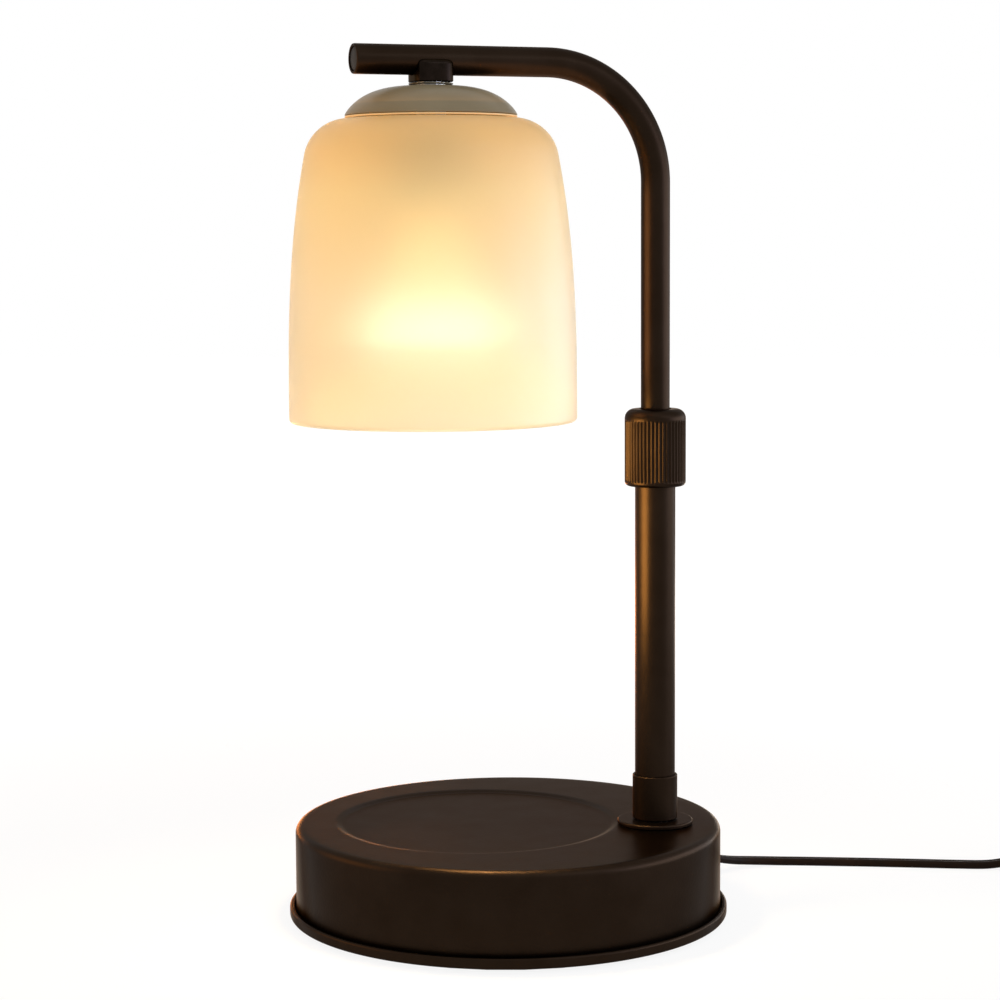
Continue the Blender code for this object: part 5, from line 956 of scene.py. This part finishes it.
low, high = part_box("dome_canopy")
rise = high.z - low.z
dome = []
for angle in np.linspace(0, pi / 2, 49):
    radius = DOME_HOLE + (DOME_RADIUS - DOME_HOLE) * sin(angle)
    dome.append((radius, low.z + rise * max(0.0, 1 - (radius / DOME_RADIUS) ** DOME_POWER) ** DOME_ROUND))
drop = DOME_SHEET * 0.6
lining = [(max(DOME_HOLE, r - DOME_SHEET * 0.9), z - drop) for r, z in dome if z - drop > low.z]
dome_edge = (DOME_RADIUS - 0.0003, low.z - 0.00005)
add_piece(
    "dome_spun", turned([*dome, dome_edge, *lining[::-1]], 160), stoved_enamel, "arm",
    ["dome_canopy"], HEAD, ARM_SWING,
)

# Silicone, moulded: a pale translucent tan, nearly matt, with an amber glow painted on as
# emission, which stands in for the light of the lit glass below it.
tan_silicone_painted_glow = surface(
    "silicone_moulded_painted_glow", "#D8B684", 0.5, IOR=1.41, Emission_Strength=1.0, Emission_Color=linear("#927954"),
)
grain(tan_silicone_painted_glow, 0.001, 0.00002)
turned_ring(
    "gasket_ring", "shade_gasket", GASKET_BORE, GASKET_RADIUS, (0.0002, 0.0002), "arm", HEAD,
    tan_silicone_painted_glow, 160,
)


# The shade: a bell of soda-lime glass, blown in a mould, its rim cut and fire polished,
# then frosted in acid. The frosting scatters the lamp's light into one soft glow, which is
# partly painted on here as emission.
SHADE_RIM = 0.0482
SHADE_TOP = 0.0421
SHADE_SHOULDER = 0.0146
SHADE_WALL = 0.0028
SHADE_HOLE = 0.0110
SHADE_FLARE = 2.8
GLASS_FADE = (0.178, 0.279)
# The tints and glows by height are painted light: cream and brighter low near the bulb, amber at the crown.
GLASS_PAINTED_LIGHT_TINTS = ((0.0, "#F8EED4"), (0.4, "#F6EACE"), (0.75, "#F2DEAE"), (1.0, "#EACC90"))
GLASS_PAINTED_GLOWS = ((0.0, "#4C4230"), (0.4, "#4A4234"), (0.75, "#5A523C"), (1.0, "#544222"))

low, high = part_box("glass_shade")
spread = SHADE_RIM - SHADE_TOP
lean = atan(SHADE_FLARE * spread / (high.z - low.z - SHADE_SHOULDER))
centre_radius = SHADE_TOP - SHADE_SHOULDER * cos(lean)
bell = [(SHADE_HOLE, high.z), (centre_radius * 0.6, high.z), (centre_radius - 0.001, high.z)]
for angle in np.linspace(pi / 2, lean, 25):
    height = high.z - SHADE_SHOULDER * (1 - sin(angle))
    bell.append((centre_radius + SHADE_SHOULDER * cos(angle), height))
wall_top = bell[-1][1]
for share in np.linspace(1, 0, 33)[1:]:
    bell.append((SHADE_RIM - spread * share**SHADE_FLARE, low.z + (wall_top - low.z) * share))
bell = np.array(bell)
along = ways(bell)
lining = bell + np.stack([along[:, 1], -along[:, 0]], axis=1) * SHADE_WALL
half_wall = SHADE_WALL / 2
lip_level = low.z + half_wall
lip = []
for angle in np.linspace(0, -pi, 13):
    lip.append((SHADE_RIM - half_wall + half_wall * cos(angle), lip_level + half_wall * sin(angle)))
keep = bell[:, 1] > lip_level + 0.0005
shade_profile = [*bell[keep], *lip, *lining[keep][::-1]]


def fade_up(material, levels, fades):
    """Colours that fade with height between two levels, through each socket's stops."""
    place = add(material, "TexCoord")
    parts = add(material, "SeparateXYZ", links={"Vector": place.outputs["Object"]})
    height = add(
        material, "MapRange", {"From Min": levels[0], "From Max": levels[1]}, {"Value": parts.outputs["Z"]},
    )
    for socket, stops in fades:
        tint = add(material, "ValToRGB", links={"Fac": height.outputs["Result"]})
        set_stops(tint.color_ramp, stops)
        feed(material, socket, tint.outputs["Color"])


# Acid-frosted glass with painted light: its colour and its emission are painted by height,
# amber near the crown and cream below, a painted glow that stands in for the bulb's light
# scattering in the wall. The rest comes through as a soft bright patch at the bulb.
frosted_glass_painted_glow = surface(
    "glass_acid_frosted_painted_glow", "#F6E2BC", 0.55, IOR=1.45, Transmission_Weight=0.60, Emission_Strength=1.0,
    Coat_Weight=0.12, Coat_Roughness=0.22, Specular_IOR_Level=0.30,
)
fade_up(frosted_glass_painted_glow, GLASS_FADE, (("Base Color", GLASS_PAINTED_LIGHT_TINTS), ("Emission Color", GLASS_PAINTED_GLOWS)))
grain(frosted_glass_painted_glow, 0.0006, 0.00002, strength=0.5)
add_piece(
    "shade_bell", turned(shade_profile, 192, sharp=50), frosted_glass_painted_glow, "arm",
    ["glass_shade"], HEAD,
)


# The lamp holder: a steatite block with two pin sockets, glazed, in a zinc-plated cup that
# hangs on the neck tube under the clamping nut.
CUP_RADIUS = 0.0146
CUP_SHEET = 0.0008
CUP_HOLE = 0.0052
BLOCK_RADIUS = 0.0136
SOCKET_OUT = 0.005
SOCKET_RADIUS = 0.0028
SOCKET_DEPTH = 0.007

# Steatite, pressed, fired and glazed: cream white, with a soft wet gloss.
glazed_steatite = mottled("steatite_glazed", 0.01, "#DDD7C9", "#EAE6DC", 0.26, 0.38, IOR=1.52)
low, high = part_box("holder_cup")
cup_bore, cup_floor = CUP_RADIUS - CUP_SHEET, high.z - CUP_SHEET
profile = rounded([
    (CUP_RADIUS, high.z, 0.0012), (CUP_RADIUS, low.z, 0.0003), (cup_bore, low.z, 0), (cup_bore, cup_floor, 0),
    (CUP_HOLE, cup_floor, 0), (CUP_HOLE, high.z, 0),
])
add_piece(
    "holder_cup_pressed", turned(profile), zinc_plate, "arm", ["holder_cup"], HEAD, ARM_SWING,
)
low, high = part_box("lamp_holder")
profile = rounded([
    (0.0, high.z, 0), (BLOCK_RADIUS, high.z, 0.0003), (BLOCK_RADIUS, low.z, 0.0008), (0.0, low.z, 0),
], closed=False)
holder_mesh = turned(profile, loop=False)
for side in (-1, 1):
    socket = []
    for level in (low.z - 0.001, low.z + SOCKET_DEPTH):
        socket.append(circle(0, side * SOCKET_OUT, SOCKET_RADIUS, level, whole_turn(32)))
    holder_mesh = carved(holder_mesh, skin(socket, caps=True))
add_piece("holder_block", holder_mesh, glazed_steatite, "arm", ["lamp_holder"], HEAD, ARM_SWING)


# The bulb: a halogen reflector lamp with a twist-lock base. Its pressed glass bowl glows
# from its lining, hottest at the face, and a stippled lens closes it.
BULB_RADIUS = 0.0250
BULB_WALL = 0.0015
BULB_EDGE = 0.0030
BULB_NECK_RADIUS = 0.0105
BULB_NECK_RISE = 0.0300
BULB_NECK_BORE = 0.0047
BOWL_FALL = 0.0270
BOWL_FADE = (0.203, 0.252)
BOWL_GLOWS = ((0.18, "#FFFAF2"), (0.40, "#CABFA4"), (0.65, "#BEAC84"), (1.0, "#66563A"))
LENS_GAP = 0.0002
LENS_SAG = 0.0006

# Pressed glass over a mirror lining that leaks light: a warm glow that fades up the bowl.
glowing_bowl = surface("glass_pressed_lit", "#FFF6E4", 0.25, Emission_Strength=2.6)
fade_up(glowing_bowl, BOWL_FADE, (("Emission Color", BOWL_GLOWS),))
# Glass, pressed with a stipple: the brightest face, its light broken up by the dimples.
lit_lens = surface("glass_lens_lit", "#FFF6E4", 0.3, Emission_Strength=2.5, Emission_Color=linear("#FFF8EC"))
grain(lit_lens, 0.002, 0.0003, detail=0.0)
# Quartz, drawn and sealed over the hot filament: glassy, small and nearly white.
lit_capsule = surface("quartz_lit", "#FFFFFF", 0.1, Emission_Strength=6.0, Emission_Color=linear("#FFE9C4"))
refinish("bulb_capsule", lit_capsule)


def bowl_curve(inner, outer, level, fall, shares):
    """Points on a parabola that falls from a level between two radii."""
    points = []
    for share in shares:
        radius = inner + (outer - inner) * share
        points.append((radius, level - fall * (radius**2 - inner**2) / (outer**2 - inner**2)))
    return points


low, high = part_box("bulb_reflector")
neck_level = low.z + BULB_NECK_RISE
bulb_bore, edge_top = BULB_RADIUS - BULB_WALL, low.z + BULB_EDGE
bowl = rounded([
    (0.0, high.z, 0), (BULB_NECK_RADIUS, high.z, 0.002), (BULB_NECK_RADIUS, neck_level, 0),
], closed=False)
bowl += bowl_curve(BULB_NECK_RADIUS, BULB_RADIUS, neck_level, BOWL_FALL, np.linspace(0, 1, 17)[1:])
bowl += rounded([
    (BULB_RADIUS, edge_top, 0), (BULB_RADIUS, low.z, 0.0005), (bulb_bore, low.z, 0.0005),
    (bulb_bore, edge_top, 0),
], closed=False)[1:]
bowl += bowl_curve(
    BULB_NECK_BORE, bulb_bore, neck_level - BULB_WALL, BOWL_FALL - BULB_WALL, np.linspace(1, 0, 17)[1:],
)
bowl += [(BULB_NECK_BORE, neck_level + 0.005), (0.0, neck_level + 0.005)]
add_piece(
    "bulb_bowl", turned(bowl, 128, loop=False), glowing_bowl, "arm", ["bulb_reflector"],
    HEAD, ARM_SWING,
)
low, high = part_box("bulb_lens")
lens_radius = bulb_bore - LENS_GAP
lens_rows = [(0.0, high.z), (lens_radius, high.z), (lens_radius, low.z + LENS_SAG)]
lens_rows += [(lens_radius * s, low.z + LENS_SAG * s**2) for s in np.linspace(0.97, 0, 12)]
add_piece(
    "bulb_face", turned(lens_rows, 128, loop=False), lit_lens, "arm", ["bulb_lens"],
    HEAD, ARM_SWING,
)


# The room: a pale floor that keeps the lamp's soft shadow, a white backdrop, and soft
# studio lights at a plain level, with the lamp's own light among them.
FLOOR_HALF = 4.0
FLOOR_LEVEL = -0.00005
FLOOR_FADE = (0.15, 0.75)
FLOOR_WHITE = 1.06
WHITE = (1.0, 1.0, 1.0, 1.0)


def seen_ray(owner):
    """One for a ray from the camera, off a glossy surface or through glass."""
    paths = add(owner, "LightPath")
    seen = paths.outputs["Is Camera Ray"]
    for kind in ("Is Glossy Ray", "Is Transmission Ray"):
        either = add(owner, "Math", links={0: seen, 1: paths.outputs[kind]}, operation="MAXIMUM")
        seen = either.outputs["Value"]
    return seen


# Matt paint, rolled: nearly white. Near the lamp it shows its soft shadow, and farther out
# it goes over into plain white, so that the floor has no horizon.
stage_paint = surface("paint_rolled_matt", "#E9E7E3", 0.9, Specular_IOR_Level=0.1)
seen = seen_ray(stage_paint)
where = add(stage_paint, "TexCoord")
away = add(stage_paint, "VectorMath", links={0: where.outputs["Object"]}, operation="LENGTH")
plain = add(
    stage_paint, "MapRange",
    {"From Min": FLOOR_FADE[0], "From Max": FLOOR_FADE[1], "To Min": 0.84, "To Max": 1.0},
    {"Value": away.outputs["Value"]}, interpolation_type="SMOOTHSTEP",
)
share = add(stage_paint, "Math", links={0: plain.outputs["Result"], 1: seen}, operation="MULTIPLY")
white = add(stage_paint, "Emission", {"Color": WHITE, "Strength": FLOOR_WHITE})
tree = stage_paint.node_tree
blend = add(stage_paint, "MixShader", links={
    0: share.outputs["Value"], 1: tree.nodes["Principled BSDF"].outputs["BSDF"], 2: white.outputs["Emission"],
})
tree.links.new(blend.outputs["Shader"], tree.nodes["Material Output"].inputs["Surface"])
floor_mesh = bpy.data.meshes.new("floor")
floor_mesh.from_pydata([
    (x * FLOOR_HALF, y * FLOOR_HALF, FLOOR_LEVEL) for x, y in ((-1, -1), (1, -1), (1, 1), (-1, 1))
], [], [(0, 1, 2, 3)])
floor_mesh.materials.append(stage_paint)
floor = linked("floor", floor_mesh)
floor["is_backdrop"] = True

world = bpy.data.worlds.new("studio")
bpy.context.scene.world = world
world.use_nodes = True
background = world.node_tree.nodes["Background"]
level = add(world, "MapRange", {"To Min": 0.45, "To Max": 1.0}, {"Value": seen_ray(world)})
background.inputs["Color"].default_value = WHITE
world.node_tree.links.new(level.outputs["Result"], background.inputs["Strength"])


def soft_light(name, place, aim, width, height, power, tint, spread=180, body=None, diffuse=True):
    """A rectangular area light, aimed at a point, that isn't seen itself."""
    data = bpy.data.lights.new(name, "AREA")
    data.shape = "RECTANGLE"
    data.size = width
    data.size_y = height
    data.energy = power
    data.color = linear(tint)[:3]
    data.spread = radians(spread)
    lamp = linked(name, data)
    lamp.location = place
    lamp.rotation_euler = (Vector(aim) - Vector(place)).to_track_quat("-Z", "Y").to_euler()
    lamp.visible_camera = False
    lamp.visible_transmission = False
    lamp.visible_diffuse = diffuse
    if body:
        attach(lamp, body)


# The studio's lights: warm ones at the left and cooler ones at the right, one of which shows
# in reflections only, so that the metals get its sheen and the glass stays warm.
soft_light("warm_left", (-1.15, -0.10, 0.30), (0.0, 0.0, 0.18), 0.8, 0.6, 4.4, "#FFBC60")
soft_light("warm_back_left", (-0.24, 0.50, 0.025), (-0.06, 0.02, 0.02), 0.30, 0.04, 1.0, "#FF9C48")
soft_light("cool_right", (0.50, 0.16, 0.215), (0.04, 0.0, 0.20), 0.20, 0.12, 0.25, "#D8DCF0")
soft_light("cool_side", (1.10, -0.28, 0.32), (0.0, 0.0, 0.15), 0.5, 0.4, 2.3, "#CCD4FF")
soft_light("cool_gloss", (0.85, 0.31, 0.20), (0.0, 0.0, 0.15), 1.2, 0.4, 8.0, "#D0D8E4", diffuse=False)
soft_light("cool_high", (0.85, -0.65, 0.85), (0.0, 0.0, 0.05), 0.9, 0.3, 2.0, "#DCEAFF")
soft_light("cool_back_right", (0.24, 0.50, 0.025), (0.06, 0.02, 0.02), 0.30, 0.04, 0.3, "#F4EEE4")
soft_light("plain_top", (0.1, -0.5, 1.3), (0.0, 0.0, 0.15), 0.8, 0.8, 1.2, "#FFFFFF")

# The lamp's own light: the bulb shines down on the base, and the lit glass warms the post,
# the arm's inner side and the dome. These four ride on the arm.
head_x, head_y = HEAD[:2]
soft_light(
    "bulb_below", (head_x, head_y, 0.2024), (head_x, head_y, 0.0), 0.040, 0.040, 0.22, "#FFDCA0", 94, "arm",
)
soft_light("post_glow", (-0.017, -0.042, 0.136), (0.052, 0.0, 0.136), 0.05, 0.08, 0.19, "#FFD07A", 120, "arm")
soft_light("shade_glow", (0.028, -0.013, 0.222), (0.052, 0.0, 0.222), 0.02, 0.07, 0.02, "#FFC890", 140, "arm")
soft_light(
    "crown_glow", (head_x, head_y, 0.2830), (head_x, head_y, 0.5), 0.11, 0.07, 0.04, "#FFC890", 180, "arm",
)

bpy.context.scene.view_settings.view_transform = "Standard"

low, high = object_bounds()
